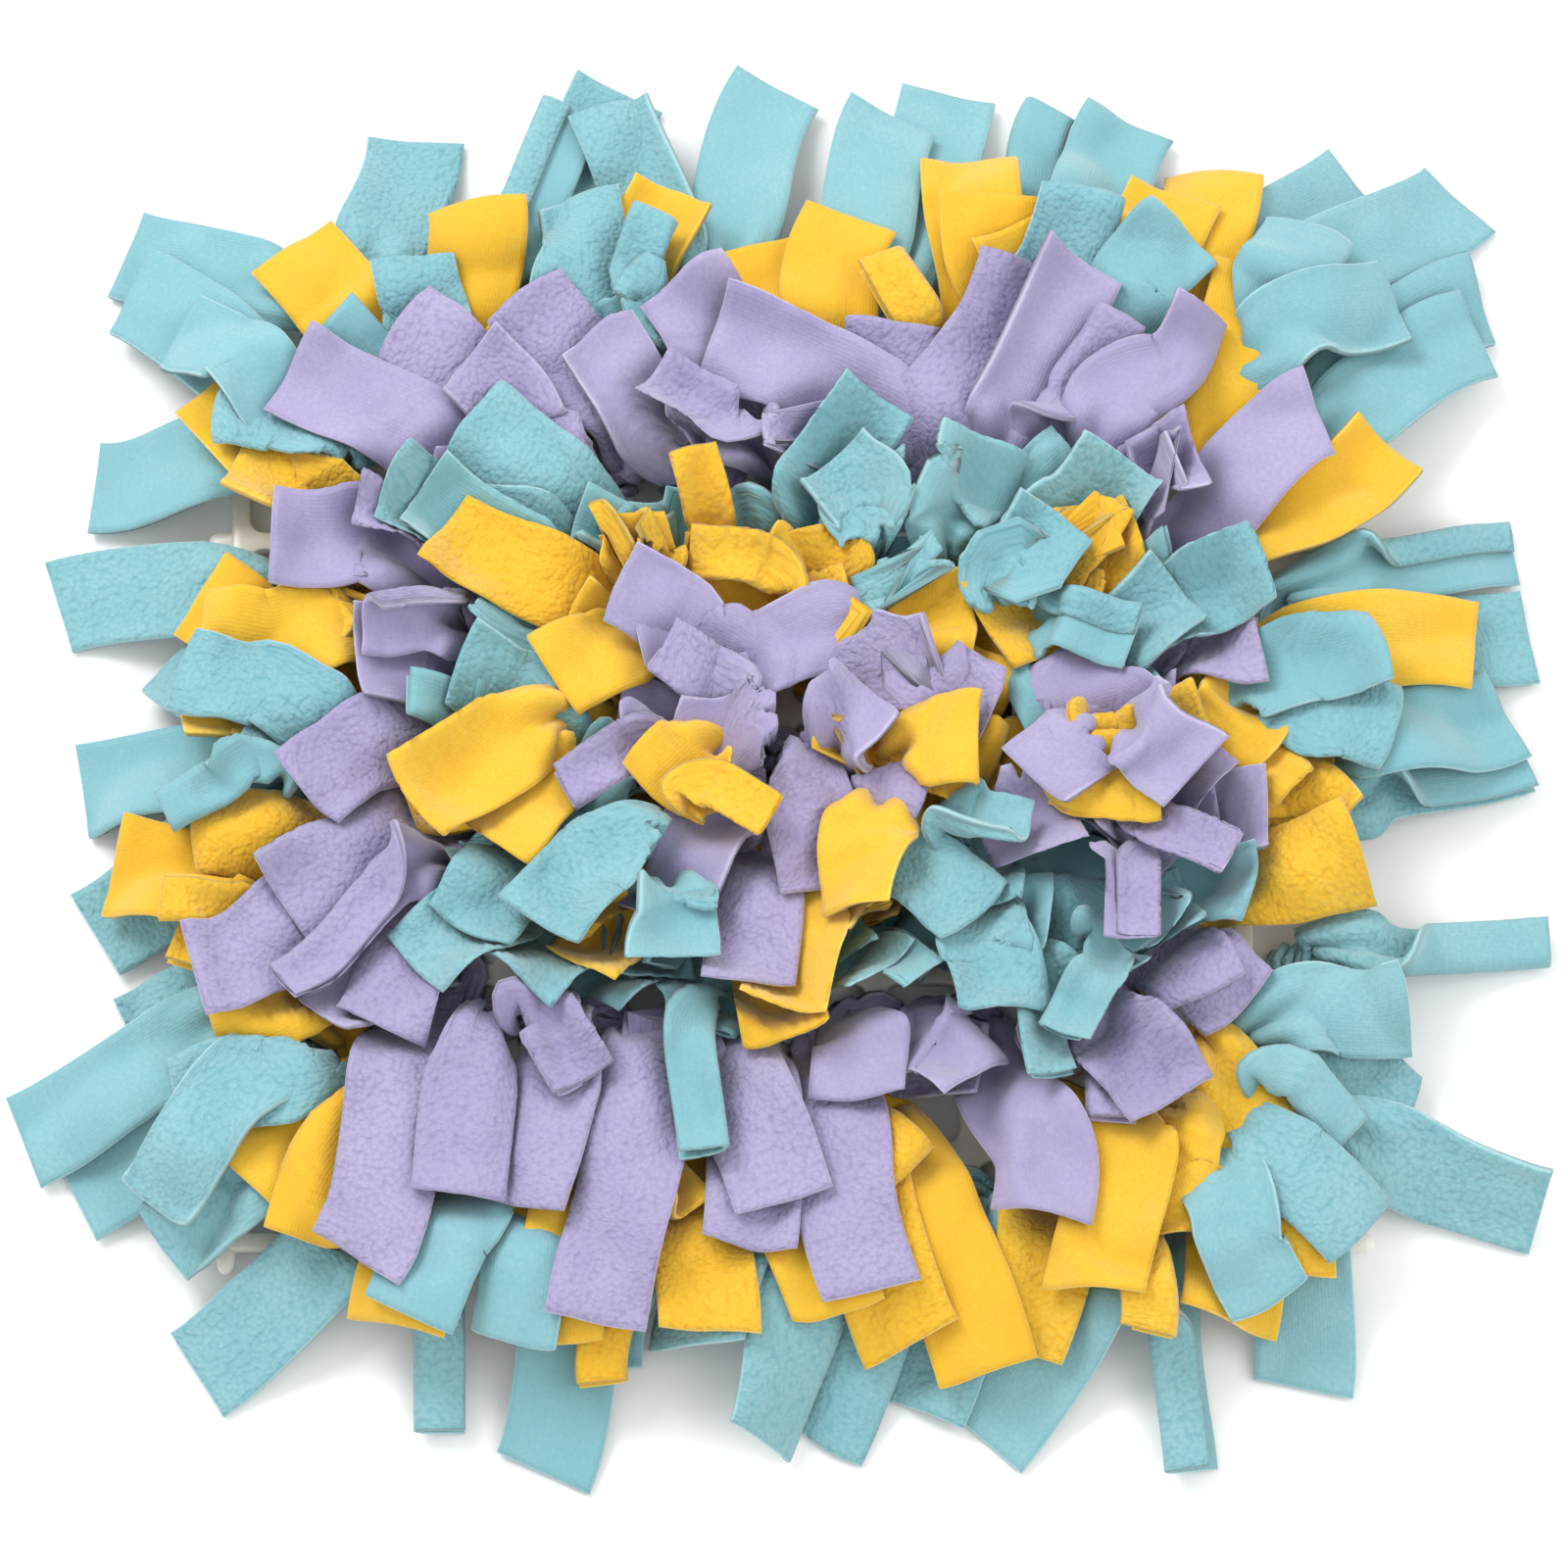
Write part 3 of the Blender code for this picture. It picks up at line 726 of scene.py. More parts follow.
def strip(heap, name, finish, knot, ends, spare, seed):
    """One whole strip as a closed sheet: first end, tie round the bar, second end."""
    draw = random.Random(seed)
    middle, along, out = knot
    tips = [end[:2] for end in ends]
    centres, sides, normals, hand = tie_rows(middle, along, out, tips)
    laid = []
    for position, (x, y, words, *turn) in zip((0, -1), ends):
        look = words.split()[0]
        root = (centres[position], sides[position])
        found = lay_end(heap, *root, (x, y), look, sum(turn), spare, draw)
        laid.append(found)
        above = found.copy()
        if not LOOKS[look][7]:
            level = found[:, ACROSS // 2, 2][:, None]
            above[..., 2] = np.minimum(above[..., 2], level + STANDING)
        above[..., 2] += CLOTH * 0.5
        heap.add(above)
    tie_centre, tie_side, tie_up = (smooth_line(part, TIE_ROWS) for part in (centres, sides, normals))
    tie_up = unit(tie_up)
    place = np.linspace(-1.0, 1.0, ACROSS + 1)
    crease = TIE_CREASE * np.sin(2.0 * math.pi * place)
    tie = tie_centre[:, None] + tie_side[:, None] * place[None, :, None]
    tie = tie + tie_up[:, None] * crease[None, :, None]
    surface = np.concatenate((laid[0][::-1], tie[1:-1], laid[1]))
    rows = len(surface)
    lengthwise = np.gradient(surface, axis=0)
    crosswise = np.gradient(surface, axis=1)
    normal = unit(hand * np.cross(lengthwise, crosswise), TINY)
    opened = np.clip(np.linalg.norm(surface[:, -1] - surface[:, 0], axis=1) / STRIP_WIDTH, 0.4, 1.0)
    half = (CLOTH / 2.0 * (THIN_SHARE + OPEN_SHARE * opened))[:, None, None]
    top, bottom = surface + normal * half, surface - normal * half

    rim = [(r, 0) for r in range(rows)] + [(rows - 1, c) for c in range(1, ACROSS + 1)]
    rim += [(r, ACROSS) for r in range(rows - 2, -1, -1)]
    rim += [(0, c) for c in range(ACROSS - 1, 0, -1)]
    outward = np.zeros_like(surface)
    outward[:, 0] -= unit(crosswise[:, 0], TINY)
    outward[:, -1] += unit(crosswise[:, -1], TINY)
    outward[0] -= unit(lengthwise[0], TINY)
    outward[-1] += unit(lengthwise[-1], TINY)
    edge = np.array([surface[r, c] + outward[r, c] * EDGE_BULGE for r, c in rim])
    points = np.concatenate((top.reshape(-1, 3), bottom.reshape(-1, 3), edge))
    wide = ACROSS + 1
    layer = rows * wide
    faces = []
    for r in range(rows - 1):
        for c in range(ACROSS):
            a = r * wide + c
            faces.append((a, a + wide, a + wide + 1, a + 1))
            faces.append((layer + a, layer + a + 1, layer + a + wide + 1, layer + a + wide))
    count = len(rim)
    for i in range(count):
        j = (i + 1) % count
        a, b = rim[i][0] * wide + rim[i][1], rim[j][0] * wide + rim[j][1]
        faces.append((a, 2 * layer + i, 2 * layer + j, b))
        faces.append((layer + b, 2 * layer + j, 2 * layer + i, layer + a))
    if hand < 0.0:
        faces = [face[::-1] for face in faces]

    label = name.replace("strip", "fleece")
    mesh = bpy.data.meshes.new(label)
    mesh.from_pydata((points * MM).tolist(), [], faces)
    mesh.polygons.foreach_set("use_smooth", [True] * len(mesh.polygons))
    run = np.linalg.norm(np.diff(surface[:, ACROSS // 2], axis=0), axis=1)
    run = np.concatenate(((0.0,), np.cumsum(run)))
    shift = (draw.uniform(0.0, 900.0), draw.uniform(0.0, 900.0))
    u = np.tile(place * STRIP_WIDTH / 2.0 + shift[0], (rows, 1))
    v = np.tile((run + shift[1])[:, None], (1, wide))
    faced = np.zeros(rows)
    faced[: ALONG + 1 + TIE_ROWS // 2] = float("pebbly" in ends[0][2])
    faced[ALONG + 1 + TIE_ROWS // 2 :] = float("pebbly" in ends[1][2])
    faced = np.tile(faced[:, None], (1, wide))
    on_rim = [(u[r, c], v[r, c]) for r, c in rim]
    faces_uv = [np.stack((u + aside, v), axis=2).reshape(-1, 2) for aside in (0.0, 300.0)]
    uv = np.concatenate((*faces_uv, np.array(on_rim)))
    nap = np.concatenate((faced.ravel(), 1.0 - faced.ravel(), np.full(count, 0.5)))
    cut = np.concatenate((np.zeros(2 * layer), np.ones(count)))
    corners = np.empty(len(mesh.loops), int)
    mesh.loops.foreach_get("vertex_index", corners)
    layer_uv = mesh.uv_layers.new(name="cloth")
    layer_uv.data.foreach_set("uv", (uv[corners] * MM).ravel())
    tone = np.full(len(points), draw.uniform(-1.0, 1.0))
    marked(mesh, {"nap": nap, "cut": cut, "tone": tone})
    mesh.materials.append(finish.material)
    mesh.update()
    piece = placed(label, mesh)
    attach(piece, "root")
    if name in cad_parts:
        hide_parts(name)
    laid_pieces.append((piece, rows))


RIB_PITCH = 0.00105


def fleece(name, light, body, shadow):
    """Polar fleece: one face raised into soft pebbles, the other smooth with faint ribs."""
    cloth = Finish(name, Roughness=0.95, Sheen_Weight=0.35, Sheen_Roughness=0.5, IOR=1.3)
    uv = cloth.node("ShaderNodeUVMap", {"uv_map": "cloth"})
    nap, cut, tone = (
        cloth.node("ShaderNodeAttribute", {"attribute_name": label}, out="Fac")
        for label in ("nap", "cut", "tone")
    )
    warp = cloth.node(
        "ShaderNodeTexNoise", None, {"Vector": uv, "Scale": 260.0, "Detail": 1.0}, out="Color"
    )
    bent = cloth.node(
        "ShaderNodeVectorMath",
        {"operation": "MULTIPLY_ADD"},
        {0: warp, 1: (0.0009, 0.0009, 0.0), 2: uv},
    )
    pebble = cloth.node(
        "ShaderNodeTexVoronoi",
        {"feature": "SMOOTH_F1", "voronoi_dimensions": "2D"},
        {"Vector": bent, "Scale": 540.0, "Smoothness": 0.7},
    )
    fuzz = cloth.node("ShaderNodeTexNoise", None, {"Vector": uv, "Scale": 2600.0, "Detail": 2.0})
    felt = cloth.node("ShaderNodeTexNoise", None, {"Vector": uv, "Scale": 700.0, "Detail": 3.0})
    blotch = cloth.node("ShaderNodeTexNoise", None, {"Vector": uv, "Scale": 55.0, "Detail": 2.0})
    across = cloth.node("ShaderNodeSeparateXYZ", None, {0: uv})
    wave = across * (2.0 * math.pi / RIB_PITCH)
    ribs = wave.work("SINE", wave)
    grit = cloth.node("ShaderNodeTexNoise", None, {"Vector": uv, "Scale": 800.0, "Detail": 2.0})

    # Height: pebbles and grit on one face, ribs, felt and fuzz on the other
    raised = 0.55 * (1.0 - pebble * pebble * 2.0) + 1.0 * grit
    smooth_height = 0.035 * ribs + 0.30 * felt + 0.25 * fuzz
    height = nap * (raised * 0.9 + 0.25 * fuzz) + (1.0 - nap) * smooth_height
    cloth.drive(
        "Normal",
        cloth.node(
            "ShaderNodeBump", None, {"Strength": 0.7, "Distance": 0.0009, "Height": height}
        ),
    )

    # Colour: painted shade in the hollows between the pebbles and their tops painted lighter,
    # blotched, a tone for each strip, paler at the cut edges
    lightness = 0.50 + nap * (raised - 0.9) * 0.40 + (1.0 - nap) * (felt - 0.5) * 0.5
    lightness = lightness + (blotch - 0.5) * 0.35 + (fuzz - 0.5) * 0.25 + tone * 0.07
    colour = cloth.blend(lightness, shadow, body)
    colour = cloth.blend(cut * 0.5 + (lightness - 0.5) * 0.5, colour, light)
    cloth.drive("Base Color", colour)
    return cloth


# Each fleece gets a pale tint for its cut edges, lighter blotches and the painted highlight on pebble
# tops, its own colour, and a dark tint for painted shade in the hollows and darker blotches
aqua = fleece("aqua_fleece", shade(188, 218, 222), shade(141, 183, 188), shade(103, 161, 172))

heap = Heap()

# Columns: knot, then for each end its tip x, y, its look, with "pebbly" where that face shows,
# and where it is set, the turn of its tip in degrees
RIM = (
    (1, (-116, 205, "flat pebbly", 14), (-206, 167, "flat", 1)),
    (2, (-52, 222, "flat pebbly"), (-66, 212, "rolled")),
    (3, (-2, 223, "flat", -20), (-54, 213, "cupped pebbly", 5)),
    (4, (52, 221, "flat", 1), (34, 211, "flat", -21)),
    (5, (84, 215, "slim pebbly", -30), (109, 211, "flat", -23)),
    (6, (180, 190, "flat", -1), (212, 185, "flat", 17)),
    (7, (218, 151, "flat", -30), (216, 137, "flat", -22)),
    (8, (230, 40, "flat pebbly", 8), (226, 67, "rolled", -9)),
    (9, (228, -3, "folded pebbly"), (222, 12, "flat", 22)),
    (10, (233, -59, "folded pebbly"), (189, -116, "draped pebbly", 27)),
    (11, (228, -145, "twisted pebbly"), (156, -198, "flat", -17)),
    (12, (122, -224, "slim", 1), (60, -214, "flat", -8)),
    (13, (40, -205, "flat pebbly"), (10, -215, "draped pebbly", 2)),
    (14, (-6, -218, "twisted pebbly"), (-26, -190, "draped pebbly")),
    (15, (-58, -192, "flat"), (-72, -224, "flat", -17)),
    (16, (-103, -212, "folded"), (-176, -194, "flat pebbly", -13)),
    (17, (-214, -139, "flat"), (-187, -157, "cupped pebbly")),
    (18, (-197, -90, "flat pebbly"), (-230, -122, "flat", -7)),
    (19, (-210, -56, "flat pebbly"), (-215, -10, "flat", 4)),
    (20, (-187, 10, "draped pebbly"), (-224, 50, "flat pebbly", 20)),
    (21, (-214, 89, "flat", -8), (-204, 152, "flat", 19)),
)


laid_pieces = []

# How the heap settles, in millimetres: it gives way above FREE_HEIGHT, its top LOOSE_DEPTH stays
# loose while what is deeper is pressed to the share PRESSED, and peaks give way above PEAKS_FROM
GRID_CROWN = GRID_TOP + GRID_MARGIN
FREE_HEIGHT = 34.0
GIVE = 22.0
LOOSE_DEPTH = 22.0
PRESSED = 0.3
PEAKS_FROM = 54.0
PEAKS_GIVE = 9.0
LOAD_SPREAD = 7


def smoothed(raster, width):
    """The raster blurred over some cells each way."""
    for axis in (0, 1):
        for _ in range(3):
            total = np.cumsum(np.insert(np.moveaxis(raster, axis, 0), 0, 0.0, axis=0), axis=0)
            places = np.arange(len(raster))
            low = np.maximum(places - width, 0)
            high = np.minimum(places + width + 1, len(raster))
            mean = (total[high] - total[low]) / (high - low)[:, None]
            raster = np.moveaxis(mean, 0, axis)
    return raster


def settled(places, full):
    """Heights once the heap, which reaches the height full there, has settled."""
    over = np.maximum(full - FREE_HEIGHT, 0.0)
    whole = np.minimum(full, FREE_HEIGHT) + GIVE * (1.0 - np.exp(-over / GIVE)) - GRID_CROWN
    depth = np.maximum(full - GRID_CROWN, 1.0)
    loose = np.minimum(depth, LOOSE_DEPTH)
    deep = depth - loose
    upper = np.minimum((whole - PRESSED * deep) / loose, 1.0)
    lower = (whole - upper * loose) / np.maximum(deep, 1e-6)
    height = places - GRID_CROWN
    found = np.where(height > deep, lower * deep + upper * (height - deep), lower * height)
    found = np.where(over > 0.0, GRID_CROWN + found, places)
    found = np.where(height > 0.0, found, places)
    peak = np.maximum(found - PEAKS_FROM, 0.0)
    return np.minimum(found, PEAKS_FROM) + PEAKS_GIVE * (1.0 - np.exp(-peak / PEAKS_GIVE))


def settle():
    """Let the heap sink under its own weight: most in the layers that are covered."""
    full = smoothed(heap.top, LOAD_SPREAD)
    heap.top = settled(heap.top, full)
    for piece, rows in laid_pieces:
        points = np.empty(len(piece.data.vertices) * 3)
        piece.data.vertices.foreach_get("co", points)
        points = points.reshape(-1, 3) / MM
        columns, lines = heap.cells(points[:, 0]), heap.cells(points[:, 1])
        points[:, 2] = np.maximum(settled(points[:, 2], full[columns, lines]), 0.1)
        piece.data.vertices.foreach_set("co", (points * MM).ravel())
        piece.data.update()


def lay_ring(label, finish, depth, spare, table):
    """Lay a ring's strips in the table's order."""
    for knot, *ends in table:
        mark = f"{int(knot):02d}" + ("b" if knot % 1 else "")
        seed = 1000 * depth + int(10 * knot)
        strip(heap, f"{label}_strip_{mark}", finish, knot_frame(depth, knot), ends, spare, seed)
    settle()


lay_ring("ring1_aqua", aqua, 0, 0.20, RIM)


# -------- second ring, yellow
# The same fleece strips in yellow, tied over the bars of the next ring of holes in. Their ends
# lie on the rim strips.

yellow = fleece("yellow_fleece", shade(240, 214, 116), shade(225, 190, 63), shade(219, 158, 24))

SECOND = (
    (1, (-153, 160, "flat"), (-95, 171, "flat", 22)),
    (2, (-82, 140, "cupped pebbly"), (-33, 178, "cupped", -14)),
    (3, (-7, 162, "flat", 24), (21, 170, "flat", -14)),
    (4, (58, 191, "flat", -4), (30, 152, "folded")),
    (4.5, (64, 174, "flat", -18), (72, 164, "flat")),
    (5, (135, 189, "flat", 9), (122, 179, "flat", -10)),
    (6, (148, 153, "flat", 8), (186, 94, "cupped", 24)),
    (7, (168, -4, "draped"), (212, 33, "flat", -13)),
    (8, (167, -12, "cupped pebbly"), (174, -38, "flat pebbly", 5)),
    (9, (133, -182, "flat", -15), (150, -168, "flat pebbly", -16)),
    (10, (69, -189, "flat pebbly", -19), (108, -188, "slim", -30)),
    (11, (61, -197, "flat", -3), (38, -189, "flat pebbly", 15)),
    (12, (-54, -200, "folded", 27), (-22, -188, "flat pebbly", 1)),
    (13, (-76, -172, "flat"), (-116, -185, "flat")),
    (14, (-184, -64, "folded"), (-160, -142, "flat", -1)),
    (15, (-204, -38, "flat", -5), (-179, -30, "hooked pebbly")),
    (16, (-184, 10, "cupped"), (-179, 46, "flat", -11)),
    (16.5, (-148, 30, "cupped"), (-178, 30, "flat")),
    (17, (-176, 114, "flat"), (-168, 86, "cupped pebbly")),
    (7.5, (152, -2, "hooked"), (150, 18, "upturned")),
    (9.5, (122, -158, "cupped"), (92, -176, "flat")),
    (11.5, (34, -142, "hooked pebbly"), (16, -182, "draped")),
    (12.5, (-28, -152, "crumpled"), (-68, -190, "draped")),
    (13.5, (-130, -132, "crumpled"), (-142, -160, "draped")),
    (14.5, (-188, -54, "slim"), (-172, -92, "draped")),
)
lay_ring("ring2_yellow", yellow, 1, 0.20, SECOND)


# -------- second rim layer, aqua
# Aqua fleece strips tied to the bars between the second and third rings of holes, with their
# ends pulled out over the yellow ones.

BETWEEN_SPARE = 0.35


def lay_between(label, finish, seed, table):
    """Lay strips tied to bars between two rings: each bar's middle and the way along it."""
    for number, (x, y, way, *ends) in enumerate(table, 1):
        along = np.array(((1.0, 0.0) if way == "across" else (0.0, 1.0)))
        knot = (np.array((x, y), float), along, np.array((along[1], -along[0])))
        name = f"{label}_strip_{number:02d}"
        strip(heap, name, finish, knot, ends, BETWEEN_SPARE, seed + number)
    settle()


# Columns: middle of the bar x, y, the way it runs, then the two ends as before
RIM_LATE = (
    (-112, 112, "up", (-138, 134, "folded pebbly"), (-114, 154, "cupped pebbly")),
    (-56, 126, "across", (-66, 176, "cupped pebbly"), (-40, 166, "folded")),
    (84, 126, "across", (94, 174, "cupped pebbly"), (124, 162, "draped")),
    (140, 126, "up", (164, 168, "draped"), (190, 142, "cupped")),
    (140, 14, "across", (186, 0, "draped pebbly"), (182, 26, "cupped")),
    (140, -98, "up", (170, -126, "folded pebbly"), (188, -84, "cupped")),
    (126, -126, "up", (174, -156, "draped pebbly"), (146, -178, "cupped")),
    (-84, -140, "up", (-82, -190, "cupped"), (-112, -184, "draped")),
    (-140, -98, "across", (-182, -116, "draped pebbly"), (-188, -148, "cupped pebbly")),
    (-140, 0, "across", (-187, -26, "slim pebbly"), (-184, 20, "cupped pebbly")),
    (-140, 98, "across", (-174, 106, "draped pebbly"), (-188, 132, "cupped")),
)
lay_between("rim_aqua", aqua, 6900, RIM_LATE)


# -------- third ring, lavender
# Lavender fleece strips of the same cut, tied over the bars of the third ring of holes, their
# ends falling over the yellow ones.

lavender = fleece(
    "lavender_fleece", shade(204, 199, 218), shade(171, 165, 193), shade(143, 131, 174)
)

THIRD = (
    (1, (-118, 132, "draped pebbly"), (-152, 115, "flat", -4)),
    (1.5, (-80, 140, "draped pebbly"), (-98, 118, "cupped pebbly")),
    (2, (-58, 128, "cupped"), (-32, 144, "flat", 30)),
    (3, (34, 130, "draped pebbly", 19), (76, 152, "flat pebbly", 21)),
    (3.5, (-22, 126, "flat"), (92, 150, "leaning")),
    (4, (104, 132, "slim"), (130, 133, "twisted", 20)),
    (5, (164, 101, "flat", -30), (144, 28, "draped pebbly", 30)),
    (6, (118, -8, "crumpled"), (146, -28, "cupped")),
    (7, (138, -88, "draped pebbly"), (98, -124, "folded")),
    (8, (77, -154, "flat", -28), (44, -112, "cupped pebbly")),
    (9, (26, -176, "flat pebbly", 8), (-10, -164, "draped pebbly")),
    (9.5, (-30, -106, "draped"), (0, -150, "flat pebbly")),
    (10, (-56, -186, "flat pebbly", -4), (-80, -150, "draped pebbly")),
    (11, (-127, -168, "flat pebbly", -18), (-140, -92, "cupped pebbly")),
    (12, (-177, -79, "flat pebbly", -27), (-151, -57, "draped pebbly", -4)),
    (12.5, (-146, -22, "draped pebbly"), (-130, 22, "upturned")),
    (13, (-156, 59, "flat", 11), (-128, 30, "crumpled")),
    (2.5, (-40, 112, "rolled"), (10, 98, "upturned pebbly")),
    (4.5, (126, 84, "leaning"), (98, 78, "folded")),
    (5.5, (128, 52, "folded"), (118, 8, "slim")),
    (6.5, (126, -86, "draped pebbly"), (132, -30, "leaning")),
    (7.5, (104, -100, "slim"), (116, -120, "draped pebbly")),
    (8.5, (58, -112, "twisted"), (22, -118, "draped")),
    (10.5, (-98, -148, "draped pebbly"), (-60, -112, "rolled")),
    (11.5, (-122, -96, "draped pebbly"), (-150, -84, "folded")),
    (13.5, (-96, 76, "leaning"), (-130, 70, "folded")),
)
lay_ring("ring3_lavender", lavender, 2, 0.25, THIRD)


# -------- fourth ring, aqua
# Aqua fleece strips again, tied in the fourth ring of holes. They are more crowded, so they
# stand up and fold over one another.

FOURTH = (
    (1, (-96, 100, "draped pebbly"), (-120, 78, "cupped pebbly")),
    (1.5, (-40, 76, "cupped pebbly"), (-64, 66, "crumpled")),
    (2, (-14, 68, "leaning pebbly"), (30, 102, "twisted pebbly")),
    (2.5, (44, 52, "draped pebbly"), (24, 84, "twisted pebbly")),
    (3, (90, 86, "cupped"), (60, 90, "leaning")),
    (3.5, (118, 52, "folded pebbly"), (104, 84, "upturned pebbly")),
    (4, (112, 18, "rolled pebbly"), (146, 48, "cupped pebbly")),
    (4.5, (86, 22, "twisted"), (96, -12, "twisted pebbly")),
    (5, (80, -112, "folded"), (142, -50, "cupped")),
    (5.5, (124, -52, "cupped pebbly"), (88, -82, "folded")),
    (6, (80, -60, "leaning"), (42, -82, "slim pebbly")),
    (6.5, (30, -80, "cupped pebbly"), (-24, -92, "rolled pebbly")),
    (7, (-24, -136, "folded pebbly"), (-60, -80, "cupped")),
    (7.5, (-30, -62, "twisted"), (-80, -82, "draped pebbly")),
    (8, (-112, -76, "draped pebbly"), (-96, -50, "draped pebbly")),
    (8.5, (-86, -42, "draped pebbly"), (-74, -20, "rolled pebbly")),
    (9, (-114, 8, "folded pebbly"), (-86, 34, "leaning")),
    (9.5, (-84, 26, "leaning"), (-112, 74, "cupped")),
)
lay_ring("ring4_aqua", aqua, 3, 0.25, FOURTH)


# -------- fifth ring, yellow
# Yellow fleece strips tied in the fifth ring of holes, round the middle, and arched over the
# fourth ring.

FIFTH = (
    (1, (-28, 84, "folded"), (-104, 62, "draped pebbly")),
    (1.5, (-62, 26, "draped"), (-30, 48, "cupped")),
    (2, (8, 62, "draped pebbly"), (108, 60, "draped pebbly")),
    (2.5, (62, 26, "draped"), (44, 48, "leaning")),
    (3, (116, 2, "rolled"), (66, -10, "upturned")),
    (3.5, (20, -56, "cupped"), (30, 14, "crumpled")),
    (4, (38, -50, "twisted"), (2, -100, "cupped")),
    (4.5, (-62, -76, "draped"), (-16, -30, "upturned")),
    (5, (-80, -54, "leaning"), (-114, -22, "rolled")),
    (5.5, (-96, -22, "draped"), (-66, 34, "cupped")),
)
lay_ring("ring5_yellow", yellow, 4, 0.25, FIFTH)


# -------- middle, lavender
# The last fleece strip on a hole's own bar, lavender, tied at the middle of the grid and lying
# on all the others.

MIDDLE = ((1, (8, -44, "draped pebbly"), (-50, 6, "leaning")),)
lay_ring("ring6_lavender", lavender, 5, 0.40, MIDDLE)


# -------- crowded middle
# More fleece strips of the three colours, tied to the bars that the rings leave free round the
# middle, one colour after another, until the grid is full.

MIDDLE_AQUA = (
    (56, -42, "up", (66, -92, "draped pebbly"), (58, -56, "draped pebbly")),
    (0, -42, "up", (14, -72, "leaning"), (-18, -78, "twisted")),
    (-56, 0, "across", (-58, -30, "folded pebbly"), (-98, 20, "cupped pebbly")),
    (-84, -28, "up", (-96, -66, "draped pebbly"), (-66, -34, "crumpled")),
    (28, 56, "up", (38, 44, "draped pebbly"), (14, 84, "cupped pebbly")),
    (84, 28, "across", (120, 44, "cupped pebbly"), (92, -8, "hooked")),
    (98, -56, "up", (118, -64, "crumpled"), (84, -100, "slim pebbly")),
)
lay_between("middle_aqua", aqua, 7000, MIDDLE_AQUA)

MIDDLE_YELLOW = (
    (84, 56, "up", (62, 30, "flat pebbly"), (98, 54, "draped pebbly")),
    (0, 42, "up", (20, 36, "draped pebbly"), (-28, 54, "folded")),
    (-42, 42, "up", (-70, 14, "draped"), (-48, 62, "crumpled")),
    (28, 0, "across", (26, 0, "upturned"), (62, -14, "hooked")),
    (-28, -28, "across", (-30, -28, "hooked"), (-68, -66, "folded")),
    (14, -42, "across", (12, -66, "twisted"), (0, -92, "cupped")),
    (-70, 0, "up", (-88, -38, "draped"), (-112, -28, "hooked")),
)
lay_between("middle_yellow", yellow, 7100, MIDDLE_YELLOW)

MIDDLE_LAVENDER = (
    (14, 28, "up", (-22, 14, "cupped"), (64, 4, "cupped pebbly")),
    (84, 14, "across", (104, 16, "draped"), (126, -24, "cupped")),
    (70, -14, "up", (116, -40, "leaning"), (78, -44, "draped")),
    (98, -28, "up", (104, -72, "slim"), (134, -46, "folded")),
    (-14, 14, "up", (-50, 44, "cupped"), (-36, 22, "rolled")),
    (-28, 0, "across", (-20, -24, "draped"), (-66, -22, "folded")),
    (14, -14, "up", (40, -30, "draped pebbly"), (26, 8, "leaning")),
    (-14, -28, "up", (-10, -84, "draped pebbly"), (-38, -62, "leaning")),
    (0, 0, "across", (12, -52, "draped pebbly"), (-34, -6, "cupped")),
)
lay_between("middle_lavender", lavender, 7200, MIDDLE_LAVENDER)

LOOSE_AQUA = (
    (70, 42, "across", (106, 26, "rolled"), (84, 66, "cupped pebbly")),
    (42, -28, "across", (58, -62, "draped pebbly"), (74, -36, "crumpled")),
    (-42, -42, "up", (-34, -78, "leaning"), (-74, -66, "draped pebbly")),
)
lay_between("loose_aqua", aqua, 7300, LOOSE_AQUA)

LOOSE_YELLOW = (
    (84, -14, "up", (126, 2, "slim"), (112, -18, "draped")),
    (28, -14, "up", (58, -8, "hooked"), (20, -62, "twisted")),
    (-28, -14, "up", (-38, -26, "hooked"), (-4, -34, "folded")),
)
lay_between("loose_yellow", yellow, 7400, LOOSE_YELLOW)

LOOSE_LAVENDER = (
    (98, 0, "across", (76, -22, "cupped"), (124, -20, "leaning")),
)
lay_between("loose_lavender", lavender, 7500, LOOSE_LAVENDER)
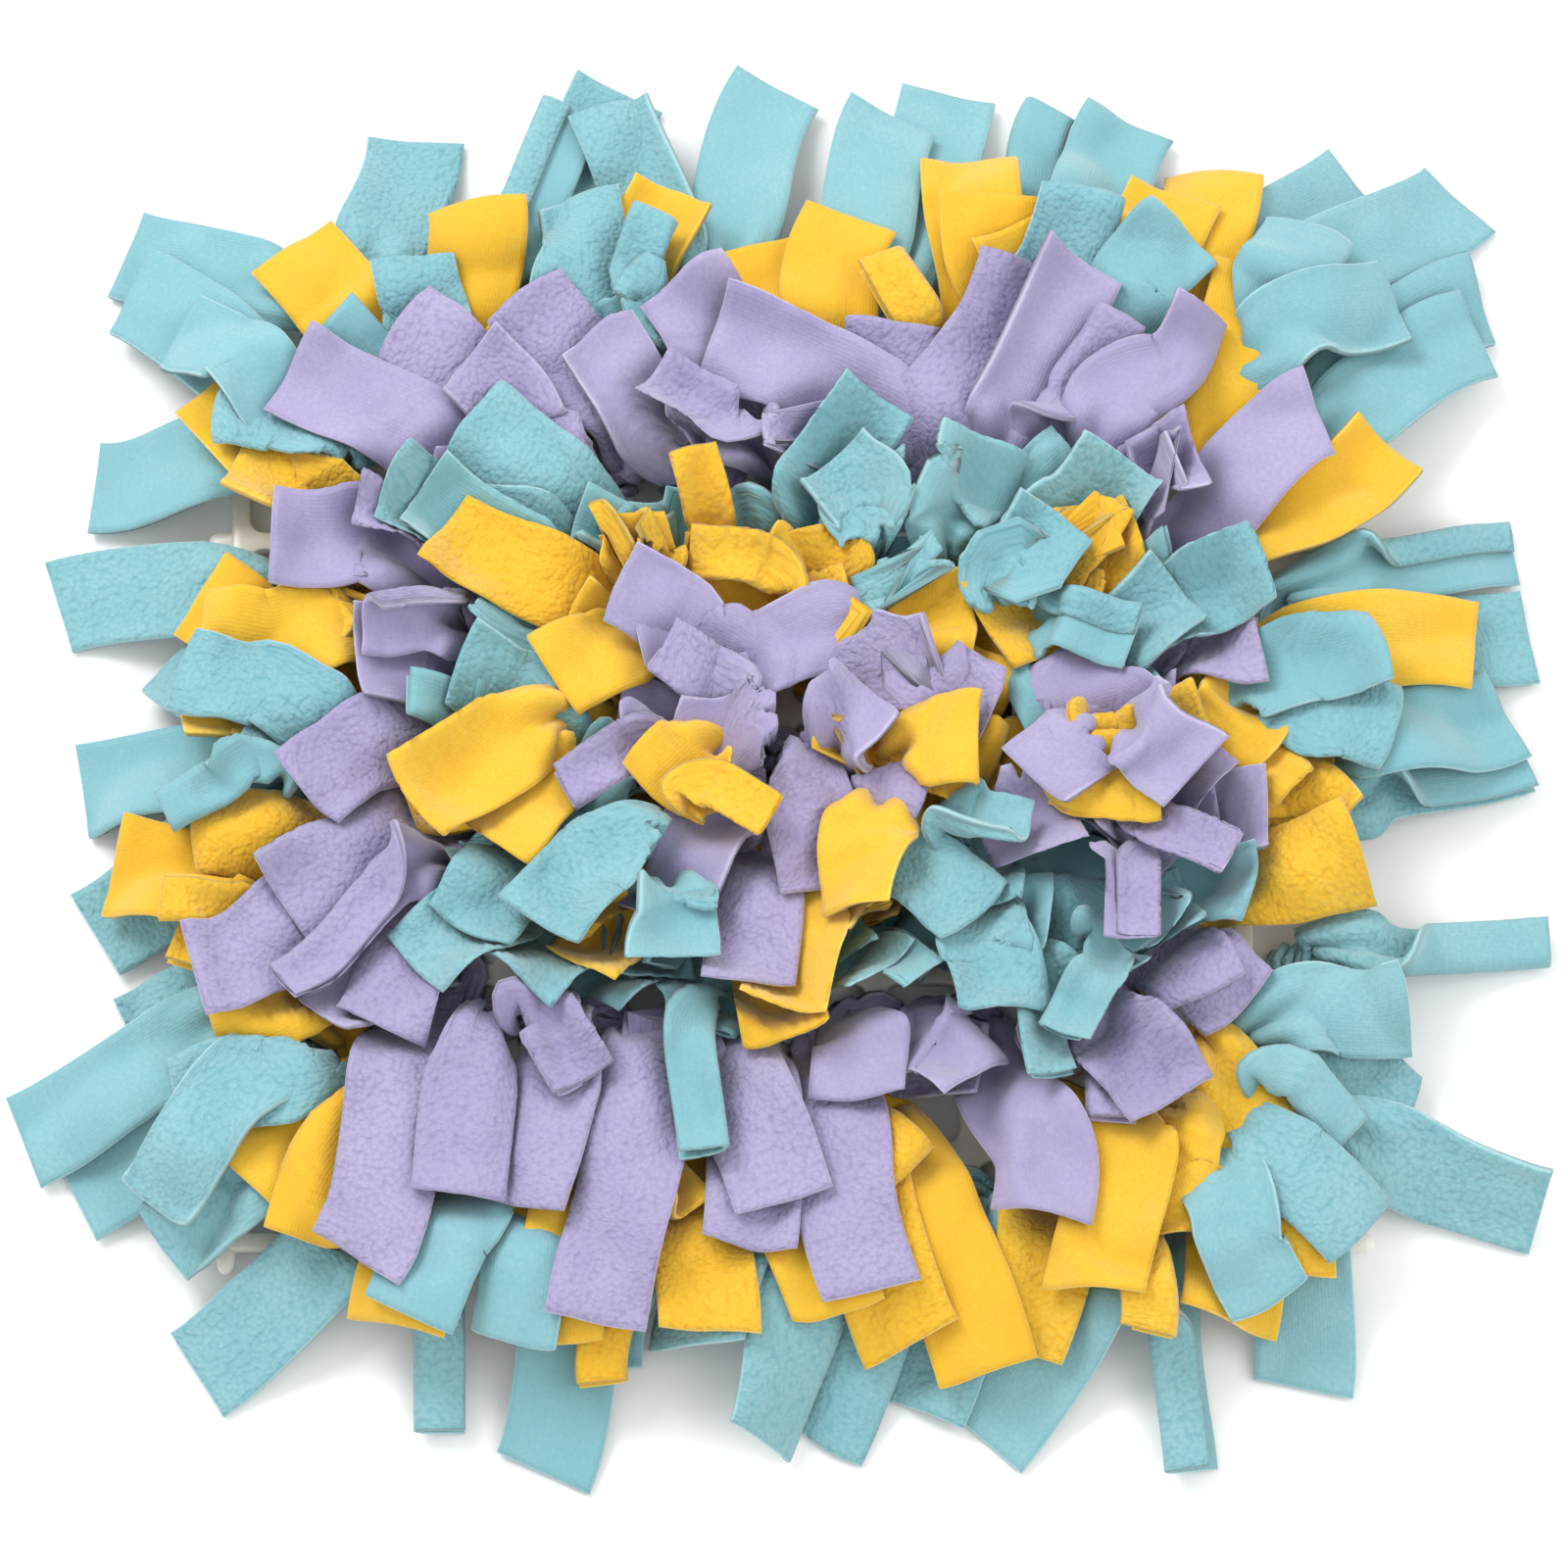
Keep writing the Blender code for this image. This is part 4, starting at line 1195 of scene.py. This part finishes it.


# Each sheet has its shape now. The loop below only reads its points back and does nothing with them.
for piece, rows in laid_pieces:
    points = np.empty(len(piece.data.vertices) * 3)
    piece.data.vertices.foreach_get("co", points)


# -------- floor, light and camera
# A plain pale floor under soft studio light, and the camera above the front edge.

FLOOR_REACH = 4.0
floor_mesh = bpy.data.meshes.new("floor")
corners = [(x * FLOOR_REACH, y * FLOOR_REACH, 0.0) for x, y in ((-1, -1), (1, -1), (1, 1), (-1, 1))]
floor_mesh.from_pydata(corners, [], [(0, 1, 2, 3)])
floor = placed("floor", floor_mesh)
paper = Finish("pale_floor", Base_Color=(0.92, 0.92, 0.92, 1.0), Roughness=0.9)
floor_mesh.materials.append(paper.material)

world = bpy.data.worlds.new("studio")
bpy.context.scene.world = world
world.use_nodes = True
sky = world.node_tree.nodes["Background"]
sky.inputs["Color"].default_value = (1.0, 1.0, 1.0, 1.0)
sky.inputs["Strength"].default_value = 1.0
bpy.context.scene.view_settings.view_transform = "Standard"


def soft_box(name, place, size, power):
    """A large soft lamp that faces the mat's middle."""
    lamp = bpy.data.lights.new(name, "AREA")
    lamp.shape = "SQUARE"
    lamp.size = size
    lamp.energy = power
    item = placed(name, lamp)
    item.location = place
    towards = -np.array(place)
    flat_way = math.hypot(towards[0], towards[1])
    item.rotation_euler = (
        math.atan2(flat_way, -towards[2]),
        0.0,
        math.atan2(towards[1], towards[0]) - math.pi / 2.0,
    )


soft_box("key_light", (-0.9, 0.9, 1.5), 0.9, 24.0)
soft_box("fill_light", (1.2, -0.3, 1.4), 1.2, 9.0)

ELEVATION = math.radians(72.0)
DISTANCE = 2.6
VIEW_WIDTH = 0.480
SENSOR = 36.0
AIM = np.array((0.0, -0.0105, 0.012))
lens = bpy.data.cameras.new("camera")
lens.sensor_width = SENSOR
lens.lens = SENSOR * DISTANCE / VIEW_WIDTH
camera = placed("camera", lens)
camera.location = AIM + DISTANCE * np.array((0.0, -math.cos(ELEVATION), math.sin(ELEVATION)))
camera.rotation_euler = (math.pi / 2.0 - ELEVATION, 0.0, 0.0)
bpy.context.scene.camera = camera
